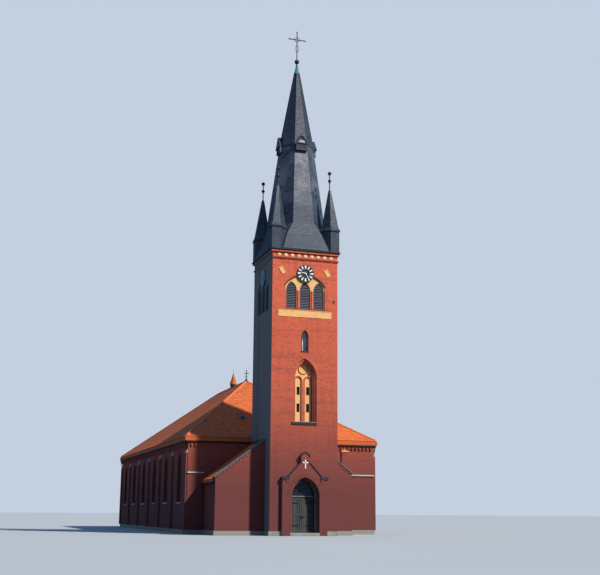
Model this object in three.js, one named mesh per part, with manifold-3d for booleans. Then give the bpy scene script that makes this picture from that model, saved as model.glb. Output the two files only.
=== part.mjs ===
// A brick church: square tower with an octagonal slate spire, two lean-to annexes and a hipped nave.
// Millimetres, +Z up. The origin is on the tower's axis at ground level and the entrance faces -Y.
import * as THREE from "three";
import { ConvexGeometry } from "three/addons/geometries/ConvexGeometry.js";
import { mergeVertices } from "three/addons/utils/BufferGeometryUtils.js";
import Module from "manifold-3d";

const wasm = await Module();
wasm.setup();

// Clearance between pieces that touch, and the number of straight steps in half an arch
const GAP = 0.3;
const ARC_STEPS = 5;

// Tower shaft
const TOWER_HALF = 2450;
const WALL = 900;
const ROOM_HALF = TOWER_HALF - WALL;
const PLINTH_TOP = 300;
const PLINTH_STEP = 80;
const THRESHOLD = 200;
const SHAFT_TOP = 19300;
const FLOOR_THICKNESS = 200;
const FLOOR_TOPS = { gallery_floor: 7300, belfry_floor: 15500 };

// Portal: concentric pointed orders share the springing height and the lean of their arcs
const PORTAL = { spring: 2630, lean: 280, half: 1070, reveal: 900, rebate: 1000 };
const PORTAL_DEPTH = 250;
const REBATE_FACE = -2000;
const PORTAL_PIER = { half: 1620, shoulder: 3720 };
const PORTAL_GABLE = { kneeler: 1180, foot: 3960, neck: 330, neckHeight: 4870 };
const PORTAL_CREST = { half: 290, eave: 5300, peak: 5670 };
const CROSS = { half: 60, arm: 235, foot: 4410, top: 5050, armFoot: 4780, armTop: 4900, depth: 60 };

// Door: a frame with a solid head and two leaves that swing into the tower
const FRAME_DEPTH = 120;
const DOOR_HALF = 850;
const DOOR_HEAD = 2600;
const LEAF_THICKNESS = 60;
const LEAF_CLEARANCE = 6;
const LEAF_MEETING = 3;
const PINTLE = { heights: [600, 2100], radius: 18, length: 60, clearance: 5 };

// Tall blind niche with its plaster panel and four small windows
const NICHE = { half: 890, base: 7600, spring: 10800, lean: 625, depth: 520 };
const NICHE_PANEL_DEPTH = 100;
const NICHE_SILL = { top: 7720, reach: 50 };
const SLIT_HALF = 110;
const SLIT_OFFSET = 350;
const SLIT_ROWS = [
  [8420, 9020],
  [9630, 10200],
];
const GLASS = 15;
const LANCET = { half: 245, base: 12680, spring: 13750, lean: 273 };
const LANCET_GLASS_SET = 300;
const BAND = { half: 2000, foot: 15120, top: 15620, depth: 40 };

// Belfry: a wide recess that holds a screen with three louvred openings
const BELFRY = { half: 1480, base: 15700, spring: 17400, crown: 18200, depth: 250 };
const BELFRY_OPENING = { half: 360, spring: 17080, lean: 325 };
const BELFRY_CENTRES = [-1020, 0, 1020];
const SCREEN = { depth: 100, sill: 40 };
const SLAT = { count: 6, thickness: 22, drop: 70, first: 0.35, bite: 20 };

// Clock
const CLOCK = { height: 18320, radius: 620, depth: 60 };
const HAND_TAPER = 0.8;
const HOUR_HAND = { reach: 340, tail: 90, half: 28, hub: 60, stand: 20, blade: 11, turn: 282.5 };
const MINUTE_HAND = { reach: 530, tail: 120, half: 20, hub: 45, stand: 20, blade: 11, turn: 150 };

// Crowning cornice of the shaft: foot, top and half width of each course
const CORNICE = [
  [SHAFT_TOP + GAP, 19420, 2500],
  [19420, 19800, 2450],
  [19800, 20000, 2560],
];
const CORNICE_TOP = 20000;

// Bell-cast skirt: height, distance of a main facet from the axis, and half its width there
const SKIRT = [
  [CORNICE_TOP + GAP, 2630, 1720],
  [20080, 2630, 1720],
  [20500, 2470, 1580],
  [21300, 2210, 1320],
];
const SKIRT_TOP = 22200;
const SPIRE_FOOT_RADIUS = 2170;
const SPIRE_SHELL = 160;
const SKIRT_HOLLOW_FLARE = 40;
const RING_FOOT = 28600;
const RING_TOP = 28900;
const SPIRE_NECK_RADIUS = 1280;
const RING = { outer: 1330, inner: 1150 };
const SPIRE_UPPER_RADIUS = 1260;
const SPIRE_UPPER_SHELL = 130;
const SPIRE_HOLLOW_TOP = 33700;
const SPIRE_TOP = 34720;
const SPIRE_TOP_RADIUS = 215;
const OCTAGON_TURN = Math.PI / 8;

// Lucarnes at the foot of the upper spire
const LUCARNE = { half: 430, foot: 28050, eave: 28600, peak: 29380, face: 1420, back: 1060 };
const LUCARNE_PANEL = { half: 300, foot: 28120, top: 28560, depth: 50 };

// Copper cap, ball and cross
const CAP = { radius: 250, lip: 34770, waist: 150, waistHeight: 35050, neck: 60, top: 35610 };
const BALL = { height: 35790, radius: 190 };
const TOP_CROSS = { staff: 38, top: 38350, armHeight: 37650, arm: 640, armHalf: 32, knob: 62 };

// Corner turrets: a small square set cornerwise and filled out to the tower's own corner.
// The plan is measured outwards from the turret's axis, and each level gives its scale.
const TURRET_INSET = 2000;
const TURRET_PLAN = [
  [-100, 550],
  [550, 550],
  [550, -100],
  [-16, -666],
  [-666, -16],
];
const TURRET_FACE = 460;
const TURRET_LEVELS = [
  [CORNICE_TOP + GAP, 1],
  [21620, 1],
  [21660, 1.1],
  [21710, 1.1],
  [21950, 0.9],
  [24900, 0.12],
];
const TURRET_SPIKE = { foot: 24750, shoulder: 24930, footRadius: 60, staff: 38 };
const TURRET_BALLS = [
  { height: 25650, radius: 130 },
  { height: 26240, radius: 145 },
];

// Lean-to annexes: drop is the roof's fall for each millimetre outwards
const ANNEX_FRONT = -1200;
const ANNEX_WALL = 400;
const ANNEX_PLINTH_STEP = 60;
const LEFT_ANNEX = { side: -1, width: 3500, ridge: 6500, drop: 0.73 };
const RIGHT_ANNEX = { side: 1, width: 1520, ridge: 5470, drop: 0.765 };
const VERGE_RISE = 100;
const ANNEX_ROOF = { thickness: 180, overhang: 130 };
const CHIMNEY = { near: 980, far: 1400, front: -700, depth: 420, top: 5830 };
const CHIMNEY_CAP = { top: 5940, reach: 40 };

// Nave
const NAVE = { half: 7150, front: TOWER_HALF + GAP, back: 34800, wall: 600, floor: 200 };
const ROOF = { half: 7400, front: 2300, back: 35050, eave: 6800, ridge: 12400, thickness: 250 };
const ROOF_RIDGE_FRONT = 13550;
const ROOF_RIDGE_BACK = ROOF.back - (ROOF_RIDGE_FRONT - ROOF.front);
const INNER_DOOR = { half: 900, spring: 2400, lean: 106 };
const NAVE_WINDOW = { half: 650, base: 2200, spring: 4700, lean: 692 };
const NAVE_BAYS = 6;
const NAVE_BAY_MARGIN = 2900;
const NAVE_GLASS = { foot: 2100, top: 5950, reach: 800 };
const ROOF_VENT = { x: -2340, y: 5600, half: 260, rise: 420, length: 900 };
const RIDGE_CROSS = { half: 25, top: 13450, armHeight: 13120, arm: 200, base: 90, baseTop: 12560 };
const FLECHE = { y: 18050, radius: 250, eave: 12640, eaveRadius: 310, spike: 13560, top: 14060 };

// Surface colours of the pieces
function finish(color, roughness, metalness = 0) {
  return () => new THREE.MeshStandardMaterial({ color, roughness, metalness, flatShading: true });
}
const brick = finish(0xb5583c, 0.9);
const paleStone = finish(0xb9b5a8, 0.85);
const plaster = finish(0xe9bf7a, 0.8);
const slate = finish(0x6d7774, 0.6);
const copper = finish(0x6fa08c, 0.5, 0.6);
const iron = finish(0x2a2a2c, 0.6, 0.7);
const darkWood = finish(0x4a2a1c, 0.7);
const louvreWood = finish(0x4b4340, 0.8);
const floorWood = finish(0x7a5a3c, 0.8);
const windowGlass = finish(0x7d8a90, 0.2);
const roofTile = finish(0xc4572b, 0.8);
const whitePaint = finish(0xf2f0ea, 0.5);
const dialPaint = finish(0x17191c, 0.5);

// A closed geometry as a solid that can be joined and cut
function solidOf(geometry) {
  const source = geometry.index ? geometry.toNonIndexed() : geometry;
  const bare = new THREE.BufferGeometry();
  bare.setAttribute("position", source.getAttribute("position"));
  const merged = mergeVertices(bare, 1e-3);
  const vertProperties = merged.attributes.position.array;
  const triVerts = new Uint32Array(merged.index.array);
  return new wasm.Manifold(new wasm.Mesh({ numProp: 3, vertProperties, triVerts }));
}

// A solid as a named mesh
function piece(name, solid, material) {
  const shape = solid.getMesh();
  const geometry = new THREE.BufferGeometry();
  geometry.setAttribute("position", new THREE.BufferAttribute(shape.vertProperties, 3));
  geometry.setIndex(new THREE.BufferAttribute(shape.triVerts, 1));
  const mesh = new THREE.Mesh(geometry, material());
  mesh.name = name;
  return mesh;
}

function join(...solids) {
  return solids.reduce((whole, next) => whole.add(next));
}

function cut(solid, ...tools) {
  return tools.reduce((whole, tool) => whole.subtract(tool), solid);
}

function box([x0, x1], [y0, y1], [z0, z1]) {
  const geometry = new THREE.BoxGeometry(x1 - x0, y1 - y0, z1 - z0);
  geometry.translate((x0 + x1) / 2, (y0 + y1) / 2, (z0 + z1) / 2);
  return solidOf(geometry);
}

function hull(points) {
  return solidOf(new ConvexGeometry(points));
}

// An outline in X and Z, pushed along Y
function alongY(points, nearY, farY) {
  const settings = { depth: farY - nearY, bevelEnabled: false };
  const geometry = new THREE.ExtrudeGeometry(new THREE.Shape(points), settings);
  geometry.rotateX(Math.PI / 2);
  geometry.translate(0, farY, 0);
  return solidOf(geometry);
}

// An outline in Y and Z, pushed along X
function alongX(points, nearX, farX) {
  const settings = { depth: farX - nearX, bevelEnabled: false };
  const geometry = new THREE.ExtrudeGeometry(new THREE.Shape(points), settings);
  const turned = new THREE.Matrix4().makeBasis(
    new THREE.Vector3(0, 1, 0),
    new THREE.Vector3(0, 0, 1),
    new THREE.Vector3(1, 0, 0),
  );
  geometry.applyMatrix4(turned);
  geometry.translate(nearX, 0, 0);
  return solidOf(geometry);
}

function outline(pairs) {
  return pairs.map(([x, z]) => new THREE.Vector2(x, z));
}

// The right half of an outline, completed by its mirror image about X = 0
function mirrored(pairs) {
  const left = pairs
    .filter(([x]) => x !== 0)
    .reverse()
    .map(([x, z]) => [-x, z]);
  return outline([...pairs, ...left]);
}

function arc(centreX, centreZ, radius, from, to, steps = ARC_STEPS) {
  return Array.from({ length: steps + 1 }, (_, i) => {
    const angle = from + ((to - from) * i) / steps;
    return new THREE.Vector2(centreX + radius * Math.cos(angle), centreZ + radius * Math.sin(angle));
  });
}

// A pointed arch: each side's arc is struck from a centre that lies `lean` beyond the middle
function pointedArch({ half, base, spring, lean }, centre = 0) {
  const radius = half + lean;
  const sweep = Math.acos(lean / radius);
  return [
    new THREE.Vector2(centre - half, base),
    new THREE.Vector2(centre + half, base),
    ...arc(centre - lean, spring, radius, 0, sweep),
    ...arc(centre + lean, spring, radius, Math.PI - sweep, Math.PI).slice(1),
  ];
}

// A flat arch struck from one centre
function segmentalArch({ half, base, spring, crown }) {
  const rise = crown - spring;
  const radius = (half * half + rise * rise) / (2 * rise);
  const start = Math.asin((radius - rise) / radius);
  return [
    new THREE.Vector2(-half, base),
    new THREE.Vector2(half, base),
    ...arc(0, crown - radius, radius, start, Math.PI - start, 2 * ARC_STEPS),
  ];
}

// The same outline drawn in by the clearance on every side
function inset(arch, by = GAP) {
  const smaller = { ...arch, half: arch.half - by, base: arch.base + by };
  if (arch.crown) smaller.crown = arch.crown - by;
  return smaller;
}

function turned(profile, segments, start = 0) {
  const points = profile.map(([radius, height]) => new THREE.Vector2(radius, height));
  const geometry = new THREE.LatheGeometry(points, segments, start);
  geometry.rotateX(Math.PI / 2);
  return solidOf(geometry);
}

function octagonal(profile) {
  return turned(profile, 8, OCTAGON_TURN);
}

// Profile points of a ball on a staff, from below to above
function ballProfile({ height, radius }, staff) {
  const start = Math.asin(staff / radius);
  const steps = 4;
  return Array.from({ length: steps + 1 }, (_, i) => {
    const angle = start + ((Math.PI - 2 * start) * i) / steps;
    return [radius * Math.sin(angle), height - radius * Math.cos(angle)];
  });
}

// Tower base and walls
function towerPlinth() {
  const reach = TOWER_HALF + PLINTH_STEP;
  const projecting = box([-reach, reach], [-reach, ANNEX_FRONT - ANNEX_PLINTH_STEP - GAP], [0, PLINTH_TOP]);
  const core = box([-TOWER_HALF, TOWER_HALF], [-TOWER_HALF, TOWER_HALF], [0, PLINTH_TOP]);
  const step = box(
    [-PORTAL.half + GAP, PORTAL.half - GAP],
    [-TOWER_HALF - PORTAL_DEPTH, -TOWER_HALF],
    [0, THRESHOLD],
  );
  const portalSeat = box(
    [-PORTAL_PIER.half - GAP, PORTAL_PIER.half + GAP],
    [-reach - 1, -TOWER_HALF],
    [-1, PLINTH_TOP + 1],
  );
  const doorway = box([-PORTAL.rebate, PORTAL.rebate], [-reach, -ROOM_HALF + 1], [THRESHOLD, PLINTH_TOP + 1]);
  const innerDoorway = box(
    [-INNER_DOOR.half, INNER_DOOR.half],
    [ROOM_HALF - 1, TOWER_HALF + 1],
    [THRESHOLD, PLINTH_TOP + 1],
  );
  const room = box([-ROOM_HALF, ROOM_HALF], [-ROOM_HALF, ROOM_HALF], [-1, PLINTH_TOP + 1]);
  return piece(
    "tower_plinth",
    cut(join(cut(join(projecting, core), portalSeat), step), doorway, innerDoorway, room),
    paleStone,
  );
}

function frontPier(name, side) {
  const across = (inner) => (side < 0 ? [-TOWER_HALF, -inner] : [inner, TOWER_HALF]);
  const height = [PLINTH_TOP + GAP, PORTAL.spring];
  return piece(
    name,
    join(
      box(across(PORTAL.reveal), [-TOWER_HALF, REBATE_FACE], height),
      box(across(PORTAL.rebate), [REBATE_FACE, -ROOM_HALF], height),
    ),
    brick,
  );
}

// The recess and three openings of one belfry face, as a cutting solid
function belfryCut() {
  const recess = alongY(segmentalArch(BELFRY), -TOWER_HALF - 1, -TOWER_HALF + BELFRY.depth);
  const openings = BELFRY_CENTRES.map((centre) =>
    alongY(pointedArch({ ...BELFRY_OPENING, base: BELFRY.base }, centre), -TOWER_HALF, -ROOM_HALF + 1),
  );
  return join(recess, ...openings);
}

function nicheSlits(nearY, farY) {
  return [-SLIT_OFFSET, SLIT_OFFSET].flatMap((centre) =>
    SLIT_ROWS.map((height) => box([centre - SLIT_HALF, centre + SLIT_HALF], [nearY, farY], height)),
  );
}

function frontWall() {
  const face = -TOWER_HALF - 1;
  const inside = -ROOM_HALF + 1;
  const wall = box(
    [-TOWER_HALF, TOWER_HALF],
    [-TOWER_HALF, -ROOM_HALF],
    [PORTAL.spring + GAP, SHAFT_TOP],
  );
  const order = (half, nearY, farY) =>
    alongY(pointedArch({ ...PORTAL, half, base: PORTAL.spring - 1 }), nearY, farY);
  return piece(
    "front_wall",
    cut(
      wall,
      order(PORTAL.reveal, face, REBATE_FACE + 1),
      order(PORTAL.rebate, REBATE_FACE, inside),
      alongY(pointedArch(NICHE), face, -TOWER_HALF + NICHE.depth),
      ...nicheSlits(face, inside),
      alongY(pointedArch(LANCET), face, inside),
      box([-BAND.half, BAND.half], [face, -TOWER_HALF + BAND.depth], [BAND.foot, BAND.top]),
      belfryCut(),
    ),
    brick,
  );
}

function sideWall(name) {
  const width = [-ROOM_HALF + GAP, ROOM_HALF - GAP];
  const wall = box(width, [-TOWER_HALF, -ROOM_HALF], [PLINTH_TOP + GAP, SHAFT_TOP]);
  return piece(name, cut(wall, belfryCut()), brick);
}

function backWall() {
  const wall = box([-TOWER_HALF, TOWER_HALF], [-TOWER_HALF, -ROOM_HALF], [PLINTH_TOP + GAP, SHAFT_TOP]);
  const door = alongY(
    pointedArch({ ...INNER_DOOR, base: PLINTH_TOP - 1 }),
    -TOWER_HALF - 1,
    -ROOM_HALF + 1,
  );
  return piece("back_wall", cut(wall, belfryCut(), door), brick);
}

function towerFloor(name, top, material) {
  const across = [-ROOM_HALF + GAP, ROOM_HALF - GAP];
  return piece(name, box(across, across, [top - FLOOR_THICKNESS, top]), material);
}

// Entrance
function portalSurround() {
  const gable = mirrored([
    [PORTAL_PIER.half, 0],
    [PORTAL_PIER.half, PORTAL_PIER.shoulder],
    [PORTAL_GABLE.kneeler, PORTAL_GABLE.foot],
    [PORTAL_GABLE.neck, PORTAL_GABLE.neckHeight],
    [PORTAL_CREST.half, PORTAL_GABLE.neckHeight],
    [PORTAL_CREST.half, PORTAL_CREST.eave],
    [0, PORTAL_CREST.peak],
  ]);
  const front = -TOWER_HALF - PORTAL_DEPTH;
  const mass = alongY(gable, front, -TOWER_HALF - GAP);
  const arch = alongY(pointedArch({ ...PORTAL, base: -1 }), front - 1, -TOWER_HALF);
  return piece("portal_surround", cut(mass, arch), brick);
}

function portalCross() {
  const face = -TOWER_HALF - PORTAL_DEPTH - GAP;
  const upright = box([-CROSS.half, CROSS.half], [face - CROSS.depth, face], [CROSS.foot, CROSS.top]);
  const arms = box([-CROSS.arm, CROSS.arm], [face - CROSS.depth, face], [CROSS.armFoot, CROSS.armTop]);
  return piece("portal_cross", join(upright, arms), whitePaint);
}

// Round stubs on the hinge line: the frame's carry the leaf's, which turn on top of them
function hingeStubs(side, grow, foot, top) {
  return PINTLE.heights.map((height) => {
    const radius = PINTLE.radius + grow;
    const stub = new THREE.CylinderGeometry(radius, radius, top - foot, 12);
    stub.rotateX(Math.PI / 2);
    stub.translate(side * (DOOR_HALF - LEAF_CLEARANCE), REBATE_FACE + FRAME_DEPTH, height + (foot + top) / 2);
    return solidOf(stub);
  });
}

function doorFrame() {
  const arch = { ...PORTAL, half: PORTAL.rebate - GAP, base: THRESHOLD + GAP };
  const near = REBATE_FACE + GAP;
  const plate = alongY(pointedArch(arch), near, REBATE_FACE + FRAME_DEPTH);
  const hole = box([-DOOR_HALF, DOOR_HALF], [near - 1, REBATE_FACE + FRAME_DEPTH + 1], [0, DOOR_HEAD]);
  const { length, clearance } = PINTLE;
  const spaces = [-1, 1].flatMap((side) => hingeStubs(side, clearance, 0, length + clearance));
  const pintles = [-1, 1].flatMap((side) => hingeStubs(side, 0, -length, 0));
  return piece("door_frame", join(cut(plate, hole, ...spaces), ...pintles), darkWood);
}

function doorLeaf(name, side) {
  const jamb = side * (DOOR_HALF - LEAF_CLEARANCE);
  const meeting = side * LEAF_MEETING;
  const inner = REBATE_FACE + FRAME_DEPTH;
  const height = [THRESHOLD + LEAF_CLEARANCE, DOOR_HEAD - LEAF_CLEARANCE];
  const width = [Math.min(jamb, meeting), Math.max(jamb, meeting)];
  const { length, clearance } = PINTLE;
  const leaf = box(width, [inner - LEAF_THICKNESS, inner], height);
  const spaces = hingeStubs(side, clearance, -length - clearance, GAP);
  return piece(name, join(cut(leaf, ...spaces), ...hingeStubs(side, 0, GAP, length)), darkWood);
}

// Niche, lancet and band of the front
function nichePanel() {
  const back = -TOWER_HALF + NICHE.depth - GLASS - 2 * GAP;
  const front = back - NICHE_PANEL_DEPTH;
  const plate = alongY(pointedArch(inset(NICHE)), front, back);
  const sill = box(
    [-NICHE.half + GAP, NICHE.half - GAP],
    [-TOWER_HALF - NICHE_SILL.reach, back],
    [NICHE.base + GAP, NICHE_SILL.top],
  );
  return piece("niche_panel", join(cut(plate, ...nicheSlits(front - 1, back + 1)), sill), plaster);
}

function nicheGlass() {
  const back = -TOWER_HALF + NICHE.depth - GAP;
  const width = SLIT_OFFSET + 2 * SLIT_HALF;
  const height = [SLIT_ROWS[0][0] - SLIT_HALF, SLIT_ROWS[1][1] + SLIT_HALF];
  return piece("niche_glass", box([-width, width], [back - GLASS, back], height), windowGlass);
}

function lancetGlass() {
  const near = -TOWER_HALF + LANCET_GLASS_SET;
  return piece("lancet_glass", alongY(pointedArch(inset(LANCET)), near, near + GLASS), windowGlass);
}

function inscriptionBand() {
  const width = [-BAND.half + GAP, BAND.half - GAP];
  const depth = [-TOWER_HALF, -TOWER_HALF + BAND.depth - GAP];
  return piece("inscription_band", box(width, depth, [BAND.foot + GAP, BAND.top - GAP]), plaster);
}

// Belfry screen with sloping slats across each opening
function belfryScreen(name) {
  const back = -TOWER_HALF + BELFRY.depth - GAP;
  const front = back - SCREEN.depth;
  const opening = { ...BELFRY_OPENING, base: BELFRY.base + SCREEN.sill };
  const plate = cut(
    alongY(segmentalArch(inset(BELFRY)), front, back),
    ...BELFRY_CENTRES.map((centre) => alongY(pointedArch(opening, centre), front - 1, back + 1)),
  );
  const pitch = (BELFRY_OPENING.spring + BELFRY_OPENING.half - opening.base) / SLAT.count;
  const slats = BELFRY_CENTRES.flatMap((centre) =>
    Array.from({ length: SLAT.count }, (_, i) => {
      const foot = opening.base + pitch * (i + SLAT.first);
      const side = outline([
        [front, foot],
        [back, foot + SLAT.drop],
        [back, foot + SLAT.drop + SLAT.thickness],
        [front, foot + SLAT.thickness],
      ]);
      const reach = BELFRY_OPENING.half + SLAT.bite;
      return alongX(side, centre - reach, centre + reach);
    }),
  );
  return piece(name, join(plate, ...slats), louvreWood);
}

// Clock face and hands, drawn for the front and turned with their face
function clockDial(name) {
  const disc = new THREE.CylinderGeometry(CLOCK.radius, CLOCK.radius, CLOCK.depth, 32);
  disc.translate(0, -TOWER_HALF - GAP - CLOCK.depth / 2, 0);
  const mesh = piece(name, solidOf(disc), dialPaint);
  mesh.position.z = CLOCK.height;
  return mesh;
}

function clockHand(name, hand, seat) {
  const hub = new THREE.CylinderGeometry(hand.hub, hand.hub, hand.stand, 16);
  hub.translate(0, seat - hand.stand / 2, 0);
  const blade = outline([
    [-hand.half, -hand.tail],
    [hand.half, -hand.tail],
    [hand.half, hand.reach * HAND_TAPER],
    [0, hand.reach],
    [-hand.half, hand.reach * HAND_TAPER],
  ]);
  const face = seat - hand.stand;
  const mesh = piece(name, join(solidOf(hub), alongY(blade, face, face + hand.blade)), whitePaint);
  mesh.position.z = CLOCK.height;
  mesh.rotation.y = THREE.MathUtils.degToRad(hand.turn);
  return mesh;
}

function clock(face) {
  const hourSeat = -TOWER_HALF - CLOCK.depth - 2 * GAP;
  const minuteSeat = hourSeat - HOUR_HAND.stand - GAP;
  return [
    clockDial(`clock_dial_${face}`),
    clockHand(`hour_hand_${face}`, HOUR_HAND, hourSeat),
    clockHand(`minute_hand_${face}`, MINUTE_HAND, minuteSeat),
  ];
}

function towerCornice() {
  const courses = CORNICE.map(([foot, top, half]) => box([-half, half], [-half, half], [foot, top]));
  const room = box([-ROOM_HALF, ROOM_HALF], [-ROOM_HALF, ROOM_HALF], [SHAFT_TOP, CORNICE_TOP + 1]);
  return piece("tower_cornice", cut(join(...courses), room), brick);
}

// Spire
function octagonRing(radius, height) {
  return Array.from({ length: 8 }, (_, i) => {
    const angle = OCTAGON_TURN + (i * Math.PI) / 4;
    return new THREE.Vector3(radius * Math.cos(angle), radius * Math.sin(angle), height);
  });
}

function skirtRing([height, face, half]) {
  const corners = [
    [face, half],
    [half, face],
    [-half, face],
    [-face, half],
    [-face, -half],
    [-half, -face],
    [half, -face],
    [face, -half],
  ];
  return corners.map(([x, y]) => new THREE.Vector3(x, y, height));
}

// The body of a turret in the corner given by two signs, grown by a factor in plan
function turretBody([signX, signY], grow = 1) {
  const ring = ([height, scale]) =>
    TURRET_PLAN.map(([u, v]) => {
      const size = scale * grow;
      return new THREE.Vector3(signX * (TURRET_INSET + size * u), signY * (TURRET_INSET + size * v), height);
    });
  const rings = TURRET_LEVELS.map(ring);
  return join(...rings.slice(1).map((upper, i) => hull([...rings[i], ...upper])));
}

function turretSpike([signX, signY]) {
  const { foot, shoulder, footRadius, staff } = TURRET_SPIKE;
  const [ball, knob] = TURRET_BALLS;
  return octagonal([
    [0, foot],
    [footRadius, foot],
    [staff, shoulder],
    ...ballProfile(ball, staff),
    ...ballProfile(knob, staff),
    [0, knob.height + knob.radius],
  ]).translate([signX * TURRET_INSET, signY * TURRET_INSET, 0]);
}

const TURRET_CORNERS = {
  turret_front_left: [-1, -1],
  turret_front_right: [1, -1],
  turret_back_left: [-1, 1],
  turret_back_right: [1, 1],
};

function turret(name, signs) {
  return piece(name, join(turretBody(signs), turretSpike(signs)), slate);
}

// The room a turret takes from the skirt, open at its foot
function turretSeat(signs) {
  const body = turretBody(signs, 1 + GAP / TURRET_FACE);
  return join(body, body.translate([0, 0, -1]));
}

function spireSkirt() {
  const rings = [...SKIRT.map(skirtRing), octagonRing(SPIRE_FOOT_RADIUS, SKIRT_TOP)];
  const stages = rings.slice(1).map((ring, i) => hull([...rings[i], ...ring]));
  const hollow = hull([
    ...octagonRing(SPIRE_FOOT_RADIUS - SPIRE_SHELL + SKIRT_HOLLOW_FLARE, CORNICE_TOP - 10),
    ...octagonRing(SPIRE_FOOT_RADIUS - SPIRE_SHELL, SKIRT_TOP + 10),
  ]);
  const seats = Object.values(TURRET_CORNERS).map(turretSeat);
  return piece("spire_skirt", cut(join(...stages), hollow, ...seats), slate);
}

function spireLower() {
  const foot = SKIRT_TOP + GAP;
  const inner = (radius) => radius - SPIRE_SHELL;
  return piece(
    "spire_lower",
    octagonal([
      [SPIRE_FOOT_RADIUS, foot],
      [SPIRE_NECK_RADIUS, RING_FOOT],
      [inner(SPIRE_NECK_RADIUS), RING_FOOT],
      [inner(SPIRE_FOOT_RADIUS), foot],
      [SPIRE_FOOT_RADIUS, foot],
    ]),
    slate,
  );
}

function spireUpper() {
  const foot = RING_TOP + GAP;
  return piece(
    "spire_upper",
    octagonal([
      [0, SPIRE_HOLLOW_TOP],
      [SPIRE_UPPER_RADIUS - SPIRE_UPPER_SHELL, foot],
      [SPIRE_UPPER_RADIUS, foot],
      [SPIRE_TOP_RADIUS, SPIRE_TOP],
      [0, SPIRE_TOP],
    ]),
    slate,
  );
}

function lucarneRing() {
  const collar = octagonal([
    [RING.outer, RING_FOOT + GAP],
    [RING.outer, RING_TOP],
    [RING.inner, RING_TOP],
    [RING.inner, RING_FOOT + GAP],
    [RING.outer, RING_FOOT + GAP],
  ]);
  const gable = mirrored([
    [LUCARNE.half, LUCARNE.foot],
    [LUCARNE.half, LUCARNE.eave],
    [0, LUCARNE.peak],
  ]);
  const panel = box(
    [-LUCARNE_PANEL.half, LUCARNE_PANEL.half],
    [-LUCARNE.face - 1, -LUCARNE.face + LUCARNE_PANEL.depth],
    [LUCARNE_PANEL.foot, LUCARNE_PANEL.top],
  );
  const lucarne = cut(alongY(gable, -LUCARNE.face, -LUCARNE.back), panel);
  const lucarnes = [0, 90, 180, 270].map((turn) => lucarne.rotate([0, 0, turn]));
  const below = hull([
    ...octagonRing(SPIRE_FOOT_RADIUS + GAP, SKIRT_TOP),
    ...octagonRing(SPIRE_NECK_RADIUS + GAP, RING_FOOT + GAP),
  ]);
  const above = hull([
    ...octagonRing(SPIRE_UPPER_RADIUS + GAP, RING_TOP),
    ...octagonRing(SPIRE_TOP_RADIUS + GAP, SPIRE_TOP),
  ]);
  return piece("lucarne_ring", cut(join(collar, ...lucarnes), below, above), slate);
}

function spireFinial() {
  const cap = turned(
    [
      [0, SPIRE_TOP + GAP],
      [CAP.radius, SPIRE_TOP + GAP],
      [CAP.radius, CAP.lip],
      [CAP.waist, CAP.waistHeight],
      [CAP.neck, CAP.top],
      ...ballProfile(BALL, TOP_CROSS.staff),
      [TOP_CROSS.staff, TOP_CROSS.top - TOP_CROSS.knob],
      [0, TOP_CROSS.top],
    ],
    12,
  );
  const half = TOP_CROSS.armHalf;
  const arms = box(
    [-TOP_CROSS.arm, TOP_CROSS.arm],
    [-half, half],
    [TOP_CROSS.armHeight - half, TOP_CROSS.armHeight + half],
  );
  const knobs = [
    [-TOP_CROSS.arm, TOP_CROSS.armHeight],
    [TOP_CROSS.arm, TOP_CROSS.armHeight],
    [0, TOP_CROSS.top - TOP_CROSS.knob],
  ].map(([x, z]) => solidOf(new THREE.OctahedronGeometry(TOP_CROSS.knob, 1)).translate([x, 0, z]));
  return piece("spire_finial", join(cap, arms, ...knobs), copper);
}

// Lean-to annexes
function annexPoint({ side, ridge, drop }, reach, fall) {
  return [side * (TOWER_HALF + GAP + reach), ridge - fall - drop * reach];
}

function annexWalls(name, annex) {
  const { side, width } = annex;
  const foot = (reach) => [side * (TOWER_HALF + GAP + reach), 0];
  const front = alongY(
    outline([foot(0), foot(width), annexPoint(annex, width, 0), annexPoint(annex, 0, 0)]),
    ANNEX_FRONT,
    ANNEX_FRONT + ANNEX_WALL,
  );
  const under = VERGE_RISE + ANNEX_ROOF.thickness + GAP;
  const inner = width - ANNEX_WALL;
  const flank = alongY(
    outline([foot(inner), foot(width), annexPoint(annex, width, under), annexPoint(annex, inner, under)]),
    ANNEX_FRONT + ANNEX_WALL - 1,
    TOWER_HALF,
  );
  const plinthReach = width + ANNEX_PLINTH_STEP;
  const plinth = alongY(
    outline([foot(0), foot(plinthReach), [foot(plinthReach)[0], PLINTH_TOP], [foot(0)[0], PLINTH_TOP]]),
    ANNEX_FRONT - ANNEX_PLINTH_STEP,
    ANNEX_FRONT + 1,
  );
  const flankPlinth = alongY(
    outline([
      foot(width - 1),
      foot(plinthReach),
      [foot(plinthReach)[0], PLINTH_TOP],
      [foot(width - 1)[0], PLINTH_TOP],
    ]),
    ANNEX_FRONT,
    TOWER_HALF,
  );
  return piece(name, join(front, flank, plinth, flankPlinth), brick);
}

function annexRoof(name, annex) {
  const reach = annex.width + ANNEX_ROOF.overhang;
  const slab = outline([
    annexPoint(annex, 0, VERGE_RISE),
    annexPoint(annex, reach, VERGE_RISE),
    annexPoint(annex, reach, VERGE_RISE + ANNEX_ROOF.thickness),
    annexPoint(annex, 0, VERGE_RISE + ANNEX_ROOF.thickness),
  ]);
  return piece(name, alongY(slab, ANNEX_FRONT + ANNEX_WALL + GAP, TOWER_HALF), roofTile);
}

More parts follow.
